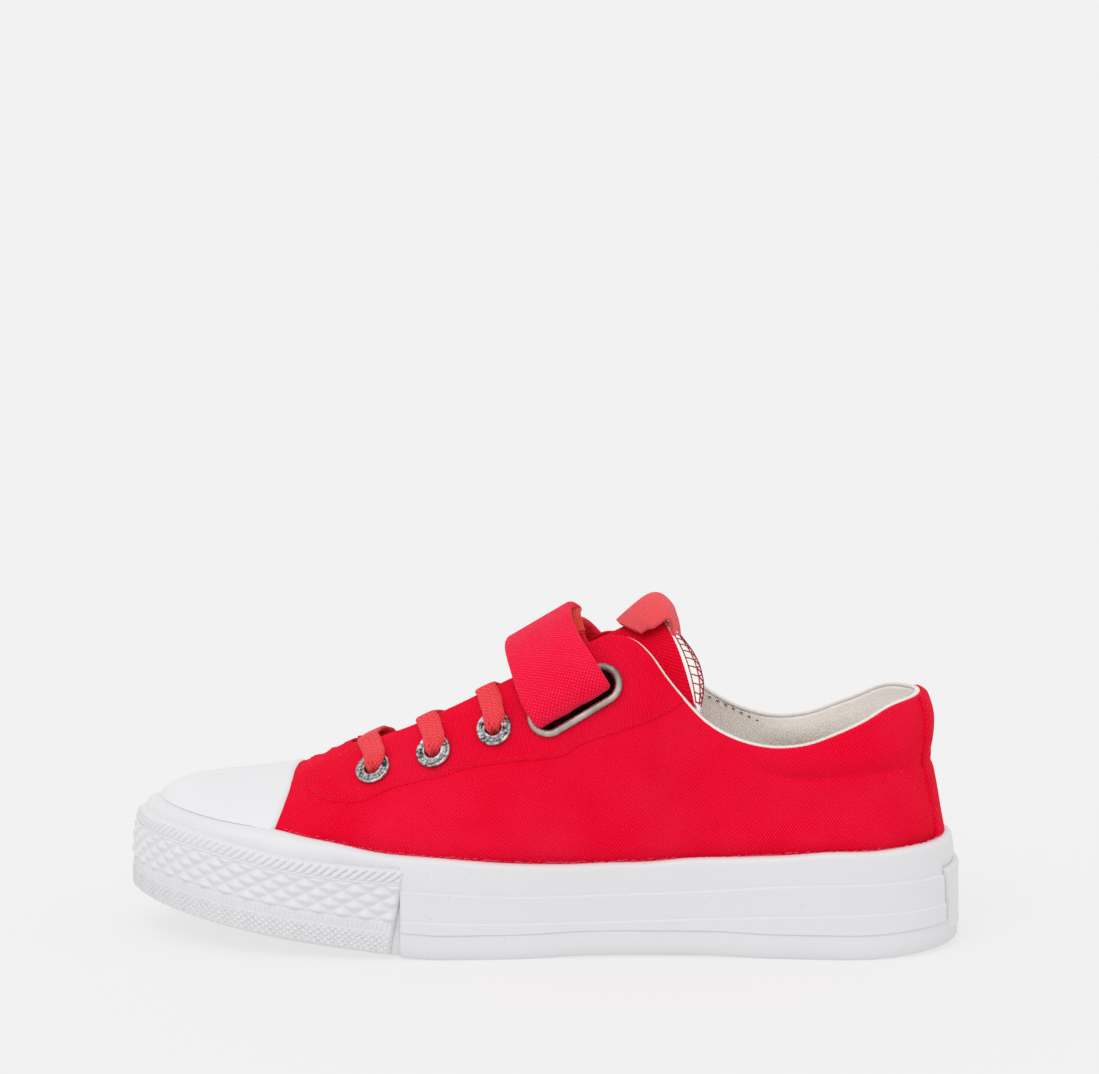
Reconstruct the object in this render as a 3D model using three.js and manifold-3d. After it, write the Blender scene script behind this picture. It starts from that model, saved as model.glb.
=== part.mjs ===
// A child's low canvas sneaker for the right foot: a hollow canvas upper on a rubber sole, with a toe cap,
// lace bars in metal eyelets, and a strap that turns round a slot ring.
// Units are millimetres. +X runs from toe to heel, -Y is the medial side and +Z is up.
// Stations along the shoe are given as a distance from the toe tip; the origin is below the middle.
import * as THREE from "three";
import { mergeVertices } from "three/addons/utils/BufferGeometryUtils.js";
import Module from "manifold-3d";

const wasm = await Module();
wasm.setup();

// ---------------------------------------------------------------- driving dimensions
const LENGTH = 212;
const MIDLINE = -2.4;
const GAP = 0.3;
const MEDIAL = -1;
const LATERAL = 1;
const SIDES = { medial: MEDIAL, lateral: LATERAL };

const TOE_END = 3.4;
const HEEL_END = 208.4;
const TOE_REACH = 48;
const HEEL_REACH = 28;
const TOE_ROUNDNESS = 1.85;
const HEEL_ROUNDNESS = 2.15;

const SPRING_START = 82;
const TOE_SPRING = 11.5;
const SPRING_POWER = 1.25;
const ARCH_RISE = 0.6;
const ARCH_FROM = 102;
const ARCH_FULL = 120;
const ARCH_LOWERS = 148;
const ARCH_TO = 166;
const HEEL_LIFT = 1.2;
const HEEL_LIFT_START = 186;

const OUTSOLE_THICKNESS = 6.5;
const INSOLE_THICKNESS = 3;
const LUG_DEPTH = 1.2;
const LUG_GROOVE = 2.4;

const FOXING_OUT = 3.0;
const BUMPER_SEAT = 1.9;
const BUMPER_OUT = 3.4;
const BUMPER_END = 73;
const PATCH_SEAT = 2.0;
const PATCH_OUT = 3.6;
const PATCH_START = 205.5;
const PATCH_BOTTOM = 4.5;
const PATCH_TOP = 20.5;

const WALL = 1.8;
const COLLAR_BULGE = 0.9;
const COLLAR_PADDING = 1.6;
const CAP_THICKNESS = 1.3;
const CAP_REAR_RIDGE = 42.6;
const CAP_REAR_SIDE = 40.8;
const HEEL_STRIP_START = 207.1;
const HEEL_STRIP_THICKNESS = 0.8;

const THROAT_START = 57;
const LOBE_FROM = 118;
const LOBE_TO = 129;

const TONGUE_THICKNESS = 3.2;
const TONGUE_SLANT = 33;
const TONGUE_CLEARANCE = 2.0;

const EYELET_RADIUS = 4.5;
const EYELET_HOLE = 2.6;
const EYELETS = [
  { station: 65.0, height: 44.6 },
  { station: 80.3, height: 49.5 },
  { station: 95.5, height: 55.6 },
];
const LACE_WIDTH = 6;
const LACE_THICKNESS = 1.2;
const LACE_LEAN = 3;
const LACE_CROWN = 0.8;
const LACE_SLOPE = THREE.MathUtils.degToRad(26);

const SLOT_STATION = 114.8;
const SLOT_HEIGHT = 63;
const SLOT_TILT = THREE.MathUtils.degToRad(31);
const SLOT_HALF_LENGTH = 8.0;
const SLOT_RADIUS = 3.2;
const RING_WIDTH = 2.1;
const STRAP_WIDTH = 19.4;
const STRAP_THICKNESS = 2.0;

const LOOP_HALF_WIDTH = 10;
const LOOP_THICKNESS = 1.2;

// ---------------------------------------------------------------- section tables
// One row for each section of the last, at the height where the sole band holds it.
// medial, lateral: half widths; shoulder: where the wall starts to lean in; ridge: crown of the section;
// fullness: exponent of the section's curve, 2 for an ellipse and more for a squarer one.
const SECTIONS = [
  { station: 3.4, medial: 32.5, lateral: 31.0, shoulder: 25.0, ridge: 35.0, fullness: 2.3 },
  { station: 10, medial: 32.8, lateral: 32.0, shoulder: 24.5, ridge: 37.6, fullness: 2.3 },
  { station: 20, medial: 33.0, lateral: 33.4, shoulder: 23.5, ridge: 38.6, fullness: 2.2 },
  { station: 32, medial: 33.1, lateral: 35.0, shoulder: 22.0, ridge: 39.8, fullness: 2.1 },
  { station: 41, medial: 33.2, lateral: 36.0, shoulder: 20.5, ridge: 41.2, fullness: 2.0 },
  { station: 48, medial: 33.2, lateral: 36.7, shoulder: 19.6, ridge: 44.3, fullness: 1.9 },
  { station: 57, medial: 33.2, lateral: 37.4, shoulder: 18.5, ridge: 48.4, fullness: 1.8 },
  { station: 65, medial: 33.1, lateral: 37.9, shoulder: 17.5, ridge: 54.4, fullness: 1.7 },
  { station: 73, medial: 33.0, lateral: 38.0, shoulder: 17.0, ridge: 59.3, fullness: 1.66 },
  { station: 84, medial: 32.2, lateral: 37.4, shoulder: 17.0, ridge: 66.3, fullness: 1.7 },
  { station: 95, medial: 31.0, lateral: 36.0, shoulder: 17.0, ridge: 73.8, fullness: 1.76 },
  { station: 107, medial: 29.0, lateral: 34.0, shoulder: 17.0, ridge: 82.4, fullness: 1.9 },
  { station: 118, medial: 27.3, lateral: 32.0, shoulder: 17.0, ridge: 90.5, fullness: 2.1 },
  { station: 130, medial: 25.8, lateral: 30.0, shoulder: 17.0, ridge: 95.0, fullness: 2.3 },
  { station: 150, medial: 25.0, lateral: 27.6, shoulder: 17.0, ridge: 95.6, fullness: 2.45 },
  { station: 170, medial: 25.2, lateral: 26.5, shoulder: 17.0, ridge: 96.4, fullness: 2.6 },
  { station: 208.4, medial: 25.5, lateral: 25.5, shoulder: 17.0, ridge: 97.0, fullness: 2.6 },
];
// Top edge of the sole band.
const BAND_TOP = [
  { station: 3.4, height: 34.1 },
  { station: 12, height: 33.6 },
  { station: 25, height: 32.5 },
  { station: 41, height: 31.1 },
  { station: 53, height: 29.0 },
  { station: 68, height: 26.4 },
  { station: 88, height: 24.7 },
  { station: 107, height: 23.6 },
  { station: 127, height: 23.7 },
  { station: 147, height: 24.7 },
  { station: 167, height: 25.9 },
  { station: 187, height: 26.9 },
  { station: 208.4, height: 27.6 },
];
// Top edge of the toe bumper, a little below the sole band's own edge.
const BUMPER_TOPS = [
  { station: 3.4, height: 31.0 },
  { station: 15.5, height: 30.0 },
  { station: 27, height: 28.2 },
  { station: 42, height: 25.2 },
  { station: 56, height: 23.2 },
  { station: 74, height: 22.0 },
];
// Half the gap between the two facings.
const THROAT = [
  { station: 57, half_gap: 0 },
  { station: 57.9, half_gap: 4.2 },
  { station: 59.6, half_gap: 6.8 },
  { station: 62, half_gap: 8.8 },
  { station: 66, half_gap: 10.6 },
  { station: 73, half_gap: 12.0 },
  { station: 84, half_gap: 13.0 },
  { station: 95, half_gap: 14.0 },
  { station: 107, half_gap: 15.3 },
  { station: 118, half_gap: 16.5 },
  { station: 130, half_gap: 17.8 },
];
// Height of the collar's edge behind the facings.
const COLLAR = [
  { station: 116, height: 80.6 },
  { station: 124, height: 79.6 },
  { station: 130, height: 78.0 },
  { station: 134, height: 74.6 },
  { station: 138, height: 69.2 },
  { station: 143, height: 63.4 },
  { station: 148, height: 58.6 },
  { station: 154, height: 55.2 },
  { station: 161, height: 53.0 },
  { station: 168, height: 52.3 },
  { station: 176, height: 53.2 },
  { station: 184, height: 55.8 },
  { station: 192, height: 58.8 },
  { station: 200, height: 62.2 },
  { station: 208.4, height: 63.6 },
];
// How far the heel and the toe are set in from the feather line, by height.
const HEEL_SET_BACK = [
  { height: 0, set_in: 0 },
  { height: 20, set_in: 0.3 },
  { height: 33, set_in: 2.2 },
  { height: 48, set_in: 4.9 },
  { height: 58, set_in: 5.3 },
  { height: 66, set_in: 7.0 },
];
const TOE_SET_BACK = [
  { height: 0, set_in: 0 },
  { height: 16, set_in: 0 },
  { height: 26, set_in: 0.6 },
  { height: 30.5, set_in: 1.6 },
  { height: 32.5, set_in: 3.2 },
  { height: 35, set_in: 5.2 },
  { height: 60, set_in: 8.0 },
];
// Crown of the tongue along the shoe.
const TONGUE_RIDGE = [
  { station: 60, height: 45.4 },
  { station: 66, height: 48.2 },
  { station: 73, height: 51.4 },
  { station: 84, height: 55.6 },
  { station: 92, height: 59.6 },
  { station: 98, height: 64.4 },
  { station: 104, height: 69.0 },
  { station: 110, height: 71.6 },
  { station: 117, height: 73.8 },
  { station: 124, height: 76.0 },
  { station: 130, height: 80.6 },
  { station: 133, height: 83.2 },
];

// The tongue's free end, from its crown to one corner.
const TONGUE_END = [
  { across: 0.0, station: 134.0, y: 0.0, height: 84.0 },
  { across: 0.2, station: 135.2, y: 4.4, height: 82.9 },
  { across: 0.4, station: 138.2, y: 8.8, height: 79.4 },
  { across: 0.6, station: 140.6, y: 12.6, height: 75.4 },
  { across: 0.8, station: 142.9, y: 16.4, height: 69.6 },
  { across: 1.0, station: 145.1, y: 19.6, height: 62.6 },
];

// Behind the vamp the lateral side's crown is lower than the medial side's.
const LATERAL_DROP = [
  { station: 57, drop: 0 },
  { station: 60, drop: 1.4 },
  { station: 63, drop: 2.9 },
  { station: 66, drop: 4.1 },
  { station: 73, drop: 5.8 },
  { station: 84, drop: 8.0 },
  { station: 95, drop: 9.0 },
  { station: 107, drop: 9.0 },
  { station: 118, drop: 8.2 },
  { station: 126, drop: 7.4 },
  { station: 132, drop: 5.6 },
  { station: 138, drop: 3.2 },
  { station: 144, drop: 1.2 },
  { station: 150, drop: 0 },
];
// Middle line of the strap across the shoe: y, and rise above the slot's centre square to the instep.
// It starts on the lateral quarter, runs under the medial facing, turns round the ring and comes back over.
const STRAP_LINE = [
  { y: 32.4, rise: -15.5 },
  { y: 31.4, rise: -9.5 },
  { y: 29.4, rise: -3.8 },
  { y: 26.4, rise: 1.8 },
  { y: 21.8, rise: 6.6 },
  { y: 15.4, rise: 10.6 },
  { y: 7.5, rise: 13.4 },
  { y: 0.0, rise: 14.2 },
  { y: -7.5, rise: 12.2 },
  { y: -12.7, rise: 7.6 },
  { y: -16.2, rise: 2.7 },
  { y: -19.3, rise: -0.1 },
  { y: -22.4, rise: -0.9 },
  { y: -24.8, rise: 0.9 },
  { y: -25.2, rise: 4.4 },
  { y: -22.9, rise: 9.4 },
  { y: -18.2, rise: 14.0 },
  { y: -10.0, rise: 17.8 },
  { y: -2.0, rise: 18.9 },
  { y: 6.0, rise: 18.2 },
  { y: 13.5, rise: 15.8 },
];

// ---------------------------------------------------------------- small tools
const COLOURS = {
  rubber: { color: 0xe6e6e8, roughness: 0.5, metalness: 0 },
  canvas: { color: 0xd4082c, roughness: 0.95, metalness: 0 },
  lining: { color: 0xdcd8cf, roughness: 0.9, metalness: 0 },
  webbing: { color: 0xe85a5c, roughness: 0.8, metalness: 0 },
  metal: { color: 0x8c8883, roughness: 0.35, metalness: 1 },
};

// Smooth interpolation in a table whose first column is the key.
function lookUp(table, key, column, at) {
  const last = table.length - 1;
  const value = (i) => table[i][column];
  const place = (i) => table[i][key];
  const x = THREE.MathUtils.clamp(at, place(0), place(last));
  let i = 0;
  while (i < last - 1 && x > place(i + 1)) i += 1;
  const slope = (k) => {
    const before = Math.max(k - 1, 0);
    const after = Math.min(k + 1, last);
    return (value(after) - value(before)) / (place(after) - place(before));
  };
  const span = place(i + 1) - place(i);
  const t = (x - place(i)) / span;
  const t2 = t * t;
  const t3 = t2 * t;
  return (
    (2 * t3 - 3 * t2 + 1) * value(i) +
    (t3 - 2 * t2 + t) * span * slope(i) +
    (3 * t2 - 2 * t3) * value(i + 1) +
    (t3 - t2) * span * slope(i + 1)
  );
}

const smooth = (a, b, x) => THREE.MathUtils.smoothstep(x, a, b);
const section = (column, station) => lookUp(SECTIONS, "station", column, station);
const bandTop = (station) => lookUp(BAND_TOP, "station", "height", station);
const spread = (from, to, count) =>
  Array.from({ length: count + 1 }, (_, i) => from + ((to - from) * i) / count);

// Height of the underside: toe spring, a slight arch and a lifted back edge.
function ground(station) {
  const spring = Math.max(0, (SPRING_START - station) / SPRING_START);
  const arch = smooth(ARCH_FROM, ARCH_FULL, station) * (1 - smooth(ARCH_LOWERS, ARCH_TO, station));
  const heel = smooth(HEEL_LIFT_START, LENGTH, station);
  return TOE_SPRING * spring ** SPRING_POWER + ARCH_RISE * arch + HEEL_LIFT * heel;
}

// Share of the full half width that is left near the two rounded ends.
function endRounding(station) {
  const toe = THREE.MathUtils.clamp((station - TOE_END) / TOE_REACH, 0, 1);
  const heel = THREE.MathUtils.clamp((HEEL_END - station) / HEEL_REACH, 0, 1);
  return (
    (1 - (1 - toe) ** 2) ** (1 / TOE_ROUNDNESS) * (1 - (1 - heel) ** HEEL_ROUNDNESS) ** (1 / HEEL_ROUNDNESS)
  );
}

// How much an outward offset moves a station along the shoe: fully at the two ends, not at all between.
function endShift(station) {
  const toe = THREE.MathUtils.clamp((station - TOE_END) / TOE_REACH, 0, 1);
  const heel = THREE.MathUtils.clamp((HEEL_END - station) / HEEL_REACH, 0, 1);
  return 1 - heel - (1 - toe);
}

function setBack(station, height) {
  const toe = lookUp(TOE_SET_BACK, "height", "set_in", height);
  const heel = lookUp(HEEL_SET_BACK, "height", "set_in", height);
  const toeShare = (1 - THREE.MathUtils.clamp((station - TOE_END) / TOE_REACH, 0, 1)) ** 1.5;
  return toe * toeShare - heel * smooth(140, HEEL_END, station);
}

// Puffiness of the padded collar, from its lower seam up to the collar's edge.
function collarPad(station, height) {
  const edge = lookUp(COLLAR, "station", "height", station);
  const seam = 44.5 + 4.5 * smooth(185, HEEL_END, station);
  const up = THREE.MathUtils.clamp((height - seam) / (edge - seam), 0, 1);
  return smooth(156, 172, station) * Math.sin(Math.PI * Math.min(up, 0.86)) ** 0.6;
}

// A point of the last's own surface, moved out by offset.
function ridgeOn(side, station) {
  return section("ridge", station) - (side === LATERAL ? lookUp(LATERAL_DROP, "station", "drop", station) : 0);
}

// The height on one side that answers to a height on the medial side.
function levelOn(side, station, height) {
  const shoulder = section("shoulder", station);
  const share = (height - shoulder) / (section("ridge", station) - shoulder);
  return shoulder + share * (ridgeOn(side, station) - shoulder);
}

function wallPoint(station, side, height, offset) {
  const width = section(side === MEDIAL ? "medial" : "lateral", station);
  const shoulder = section("shoulder", station);
  const fullness = section("fullness", station);
  const rise = THREE.MathUtils.clamp((height - shoulder) / (ridgeOn(side, station) - shoulder), 0, 1);
  const lean = (1 - rise ** fullness) ** (1 / fullness);
  const y = side * (width * lean + offset) * endRounding(station);
  const x = station + endShift(station) * offset + setBack(station, height);
  return new THREE.Vector3(x - LENGTH / 2, y, height);
}

// A point of the section's curve by its angle: 0 at the feather line, a right angle at the ridge.
function archPoint(station, side, angle, offset) {
  const width = section(side === MEDIAL ? "medial" : "lateral", station);
  const shoulder = section("shoulder", station);
  const ridge = ridgeOn(side, station) + offset;
  const power = 2 / section("fullness", station);
  const z = shoulder + (ridge - shoulder) * Math.sin(angle) ** power;
  const y = side * (width + offset) * Math.cos(angle) ** power * endRounding(station);
  const x = station + endShift(station) * offset * Math.cos(angle) + setBack(station, z);
  return new THREE.Vector3(x - LENGTH / 2, y, z);
}

// Angle of the upper's edge on a section: the ridge over the vamp, the facing's edge or the collar.
function edgeAngle(station, side) {
  if (station <= THROAT_START) return Math.PI / 2;
  const width = section(side === MEDIAL ? "medial" : "lateral", station) * endRounding(station);
  const shoulder = section("shoulder", station);
  const fullness = section("fullness", station);
  const gap = lookUp(THROAT, "station", "half_gap", station);
  const edge = lookUp(COLLAR, "station", "height", station);
  const facing = Math.acos(Math.min(1, gap / width) ** (fullness / 2));
  const rise = (edge - shoulder) / (section("ridge", station) - shoulder);
  const collar = Math.asin(Math.min(1, rise) ** (fullness / 2));
  return THREE.MathUtils.lerp(facing, collar, smooth(LOBE_FROM, LOBE_TO, station));
}

// ---------------------------------------------------------------- meshes from grids
class Skin {
  constructor() {
    this.corners = [];
  }

  // The four corners run anticlockwise seen from outside.
  quad(a, b, c, d) {
    this.corners.push(a, b, c, a, c, d);
  }

  // A grid of points seen from outside, rows upwards and columns to the right.
  sheet(grid) {
    for (let i = 0; i + 1 < grid.length; i += 1)
      for (let j = 0; j + 1 < grid[i].length; j += 1)
        this.quad(grid[i][j], grid[i][j + 1], grid[i + 1][j + 1], grid[i + 1][j]);
  }

  geometry() {
    const corners = new THREE.BufferGeometry().setFromPoints(this.corners);
    const merged = mergeVertices(corners, 1e-3);
    const index = [];
    for (let i = 0; i < merged.index.count; i += 3) {
      const [a, b, c] = [0, 1, 2].map((k) => merged.index.getX(i + k));
      if (a !== b && b !== c && a !== c) index.push(a, b, c);
    }
    merged.setIndex(index);
    return merged;
  }
}

const flip = (grid) => grid.map((row) => [...row].reverse());
const closed = (grid) => [...grid, grid[0]];

// A closed solid between an outer grid and an inner one. A wrapped grid joins its last row to its first;
// a pointed one has its first column folded shut on itself, so it needs no rim there.
function slab(outer, inner, { wrap = false, pointed = false } = {}) {
  const skin = new Skin();
  const out = wrap ? closed(outer) : outer;
  const back = wrap ? closed(inner) : inner;
  skin.sheet(out);
  skin.sheet(flip(back));
  const rim = (a, b) => skin.sheet([a, b]);
  const last = out[0].length - 1;
  const column = (grid, j) => grid.map((row) => row[j]);
  if (!pointed) rim(column(out, 0), column(back, 0));
  rim(column(back, last), column(out, last));
  if (!wrap) {
    rim(back[0], out[0]);
    rim(out[out.length - 1], back[back.length - 1]);
  }
  return outwards(skin.geometry());
}

function signedVolume(geometry) {
  const p = geometry.getAttribute("position");
  const [a, b, c] = [new THREE.Vector3(), new THREE.Vector3(), new THREE.Vector3()];
  let sum = 0;
  for (let i = 0; i < geometry.index.count; i += 3) {
    a.fromBufferAttribute(p, geometry.index.getX(i));
    b.fromBufferAttribute(p, geometry.index.getX(i + 1));
    c.fromBufferAttribute(p, geometry.index.getX(i + 2));
    sum += a.dot(b.cross(c));
  }
  return sum / 6;
}

function outwards(geometry) {
  if (signedVolume(geometry) > 0) return geometry;
  const index = Array.from(geometry.index.array);
  geometry.setIndex(index.reverse());
  return geometry;
}

// ---------------------------------------------------------------- cuts and joins
function toSolid(source) {
  const bare = new THREE.BufferGeometry();
  bare.setAttribute("position", source.getAttribute("position").clone());
  if (source.index) bare.setIndex(source.index.clone());
  const merged = mergeVertices(bare, 1e-3);
  const index = [];
  for (let i = 0; i < merged.index.count; i += 3) {
    const [a, b, c] = [0, 1, 2].map((k) => merged.index.getX(i + k));
    if (a !== b && b !== c && a !== c) index.push(a, b, c);
  }
  return new wasm.Manifold(
    new wasm.Mesh({
      numProp: 3,
      vertProperties: new Float32Array(merged.getAttribute("position").array),
      triVerts: new Uint32Array(index),
    }),
  );
}

function fromSolid(solid) {
  const mesh = solid.getMesh();
  const geometry = new THREE.BufferGeometry();
  geometry.setAttribute("position", new THREE.BufferAttribute(new Float32Array(mesh.vertProperties), 3));
  geometry.setIndex(new THREE.BufferAttribute(new Uint32Array(mesh.triVerts), 1));
  return geometry;
}

const cut = (geometry, cutters) =>
  fromSolid(cutters.reduce((solid, cutter) => solid.subtract(toSolid(cutter)), toSolid(geometry)));

// ---------------------------------------------------------------- stations
const toeStations = (count) =>
  spread(0, Math.PI / 2, count).map((a) => TOE_END + TOE_REACH * (1 - Math.cos(a)));
const heelStations = (count) =>
  spread(Math.PI / 2, 0, count).map((a) => HEEL_END - HEEL_REACH * (1 - Math.cos(a)));

// Stations from the toe end to the heel end, closer together where the outline turns.
function allStations(toe, middle, heel) {
  const front = toeStations(toe);
  const back = heelStations(heel);
  const between = spread(front[front.length - 1], back[0], middle).slice(1, -1);
  return [...front, ...between, ...back];
}

// A walk round the outline: the medial side from heel to toe, then the lateral side back.
function walk(stations) {
  const medial = [...stations].reverse().map((station) => ({ station, side: MEDIAL }));
  const lateral = stations.slice(1).map((station) => ({ station, side: LATERAL }));
  return [...medial, ...lateral];
}

// A band that follows the wall along a walk; each row gives a height function and an offset.
function band(steps, outerRows, innerRows, wrap = false) {
  const grid = (rows) =>
    steps.map(({ station, side }) => rows.map((row) => wallPoint(station, side, row.height(station), row.offset)));
  return slab(grid(outerRows), grid(innerRows), { wrap });
}

// ---------------------------------------------------------------- sole
const OUTSOLE_TOP = (station) => ground(station) + OUTSOLE_THICKNESS;
const FEATHER = (station) => OUTSOLE_TOP(station) + GAP;
const bumperTop = (station) => lookUp(BUMPER_TOPS, "station", "height", station);

// A plate between two heights, with its own offset at each row of the edge.
function plate(stations, rows) {
  const across = [-1, -0.5, 0, 0.5, 1];
  const level = (row) =>
    stations.map((station) => {
      const medial = wallPoint(station, MEDIAL, row.height(station), row.offset);
      const lateral = wallPoint(station, LATERAL, row.height(station), row.offset);
      return across.map((share) => medial.clone().lerp(lateral, (share + 1) / 2));
    });
  const skin = new Skin();
  const levels = rows.map(level);
  const last = across.length - 1;
  skin.sheet(flip(levels[0]));
  skin.sheet(levels[levels.length - 1]);
  for (let i = 0; i + 1 < levels.length; i += 1) {
    const [low, high] = [levels[i], levels[i + 1]];
    skin.sheet([high, low].map((grid) => grid.map((row) => row[0])));
    skin.sheet([low, high].map((grid) => grid.map((row) => row[last])));
  }
  return outwards(skin.geometry());
}

function lugGroove(station) {
  const inset = 9;
  const medial = wallPoint(station, MEDIAL, 0, -inset);
  const lateral = wallPoint(station, LATERAL, 0, -inset);
  const groove = new THREE.BoxGeometry(LUG_GROOVE, lateral.y - medial.y, 2 * LUG_DEPTH);
  groove.translate(station - LENGTH / 2, (lateral.y + medial.y) / 2, ground(station));
  return groove;
}

// The toe of the sole is cut back where the bumper lies on it.
function bumperSeat() {
  const steps = walk([...toeStations(12), 58, 65, BUMPER_END + GAP]);
  const rows = (offset) => [
    { height: () => -8, offset },
    { height: (s) => bumperTop(s) + GAP, offset },
  ];
  return band(steps, rows(BUMPER_OUT + 6), rows(BUMPER_SEAT - GAP));
}

function patchSeat() {
  const steps = heelWalk(PATCH_START - GAP, 5);
  const rows = (offset) => [
    { height: () => PATCH_BOTTOM - GAP, offset },
    { height: () => PATCH_TOP + GAP, offset },
  ];
  return band(steps, rows(PATCH_OUT + 6), rows(PATCH_SEAT - GAP));
}

// A short walk round the back of the heel, from one side to the other.
function heelWalk(from, count) {
  const turn = Math.acos(1 - (HEEL_END - from) / HEEL_REACH);
  const stations = spread(turn, 0, count).map((a) => HEEL_END - HEEL_REACH * (1 - Math.cos(a)));
  const medial = stations.map((station) => ({ station, side: MEDIAL }));
  const lateral = stations.slice(0, -1).reverse().map((station) => ({ station, side: LATERAL }));
  return [...medial, ...lateral];
}

// Two neighbouring rows at the forefoot and two at the heel bound the flat spots that the shoe stands on.
const FOREFOOT_FLAT = [SPRING_START, ARCH_FROM];
const HEEL_FLAT = [168, HEEL_LIFT_START];
const SOLE_STATIONS = [
  ...toeStations(12),
  ...[61, 71.5],
  ...FOREFOOT_FLAT,
  ...[110, 119, 128, 137, 146, 153, 160.5],
  ...HEEL_FLAT,
  ...heelStations(9).filter((station) => station > HEEL_LIFT_START),
];

function outsole() {
  const edge = 0.9;
  const body = plate(SOLE_STATIONS, [
    { height: ground, offset: FOXING_OUT - edge },
    { height: (s) => ground(s) + edge, offset: FOXING_OUT },
    { height: OUTSOLE_TOP, offset: FOXING_OUT },
  ]);
  const forefoot = spread(60, 108, 6);
  const heel = spread(164, 196, 4);
  return cut(body, [bumperSeat(), patchSeat(), ...[...forefoot, ...heel].map(lugGroove)]);
}

function foxing() {
  const steps = walk(allStations(12, 12, 9)).slice(0, -1);
  const body = band(
    steps,
    [
      { height: FEATHER, offset: FOXING_OUT },
      { height: (s) => bandTop(s) - 7, offset: FOXING_OUT },
      { height: (s) => bandTop(s) - 3, offset: FOXING_OUT },
      { height: bandTop, offset: FOXING_OUT - 0.6 },
    ],
    [
      { height: FEATHER, offset: GAP + 0.2 },
      { height: (s) => bandTop(s) - 7, offset: GAP + 0.2 },
      { height: (s) => bandTop(s) - 3, offset: GAP + 0.2 },
      { height: bandTop, offset: GAP },
    ],
    true,
  );
  return cut(body, [bumperSeat(), patchSeat()]);
}

function toeBumper() {
  const steps = walk([...toeStations(12), 58, 65, BUMPER_END]);
  const bottom = (s) => ground(s) + 0.5;
  const middle = (s) => (bottom(s) + bumperTop(s)) / 2;
  return band(
    steps,
    [
      { height: bottom, offset: BUMPER_OUT - 0.6 },
      { height: (s) => bottom(s) + 1.2, offset: BUMPER_OUT },
      { height: middle, offset: BUMPER_OUT },
      { height: bumperTop, offset: BUMPER_OUT - 0.3 },
    ],
    [
      { height: bottom, offset: BUMPER_SEAT },
      { height: (s) => bottom(s) + 1.2, offset: BUMPER_SEAT },
      { height: middle, offset: BUMPER_SEAT },
      { height: bumperTop, offset: BUMPER_SEAT },
    ],
  );
}

function heelPatch() {
  const rows = (offset) => spread(PATCH_BOTTOM, PATCH_TOP, 2).map((z) => ({ height: () => z, offset }));
  return band(heelWalk(PATCH_START, 5), rows(PATCH_OUT), rows(PATCH_SEAT));
}

function insole() {
  const lift = (s) => FEATHER(s) + INSOLE_THICKNESS;
  return plate(allStations(9, 10, 7), [
    { height: FEATHER, offset: -WALL - GAP - 0.2 },
    { height: lift, offset: -WALL - GAP - 0.2 },
  ]);
}

// ---------------------------------------------------------------- upper
const UPPER_STATIONS = [
  ...toeStations(8),
  ...[THROAT_START, 57.9, 59.6, 62, 66, 73, 81, 90, 99, 107, 114],
  ...[119, 123, 127, 131, 135, 139, 144, 150, 158, 166, 174],
  ...heelStations(7),
];
const WALL_STEPS = 7;

// One side of the upper's surface: columns run from the feather line up to the edge.
function upperGrid(side, inwards) {
  return UPPER_STATIONS.map((station) => {
    const top = edgeAngle(station, side);
    const feather = wallPoint(station, side, FEATHER(station), -inwards);
    const rest = spread(0, 1, WALL_STEPS).map((share) => {
      const angle = top * share;
      const height = archPoint(station, side, angle, 0).z;
      const pad = collarPad(station, height);
      const offset = inwards ? -inwards - COLLAR_PADDING * pad : COLLAR_BULGE * pad;
      const point = archPoint(station, side, angle, 0);
      const moved = archPoint(station, side, angle, offset);
      const onWall = smooth(THROAT_START, THROAT_START + 20, station) * (1 - Math.sin(angle));
      if (station > THROAT_START) moved.z = THREE.MathUtils.lerp(moved.z, point.z, onWall);
      return moved;
    });
    return [feather, ...rest];
  });
}

function upperShell() {
  const skin = new Skin();
  for (const side of [MEDIAL, LATERAL]) {
    const outer = upperGrid(side, 0);
    const inner = upperGrid(side, WALL);
    const last = outer[0].length - 1;
    const open = UPPER_STATIONS.indexOf(THROAT_START);
    const column = (grid, j, from) => grid.slice(from).map((row) => row[j]);
    const parts = [
      outer,
      flip(inner),
      [column(outer, 0, 0), column(inner, 0, 0)],
      [column(inner, last, open), column(outer, last, open)],
    ];
    for (const part of parts) skin.sheet(side === MEDIAL ? part : flip(part));
  }
  return outwards(skin.geometry());
}

// Frame on the wall: z out of the surface, x along the shoe and up the instep by the given tilt.
function wallFrame(station, side, height, tilt = 0) {
  const step = 2;
  const at = (s, z) => wallPoint(s, side, z, 0);
  const origin = at(station, height);
  const along = at(station + step, height).sub(at(station - step, height)).normalize();
  const up = at(station, height + step).sub(at(station, height - step)).normalize();
  const out = along.clone().cross(up).normalize().multiplyScalar(side === MEDIAL ? 1 : -1);
  const x = along.clone().multiplyScalar(Math.cos(tilt)).addScaledVector(up, Math.sin(tilt));
  const y = out.clone().cross(x).normalize();
  x.crossVectors(y, out).normalize();
  return new THREE.Matrix4().makeBasis(x, y, out).setPosition(origin);
}

const eyeletFrame = (eyelet, side) =>
  wallFrame(eyelet.station, side, levelOn(side, eyelet.station, eyelet.height));
const slotFrame = () => wallFrame(SLOT_STATION, MEDIAL, SLOT_HEIGHT, SLOT_TILT);

function slotOutline(radius) {
  const shape = new THREE.Shape();
  shape.absarc(SLOT_HALF_LENGTH, 0, radius, -Math.PI / 2, Math.PI / 2);
  shape.absarc(-SLOT_HALF_LENGTH, 0, radius, Math.PI / 2, (3 * Math.PI) / 2);
  return shape;
}

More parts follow.
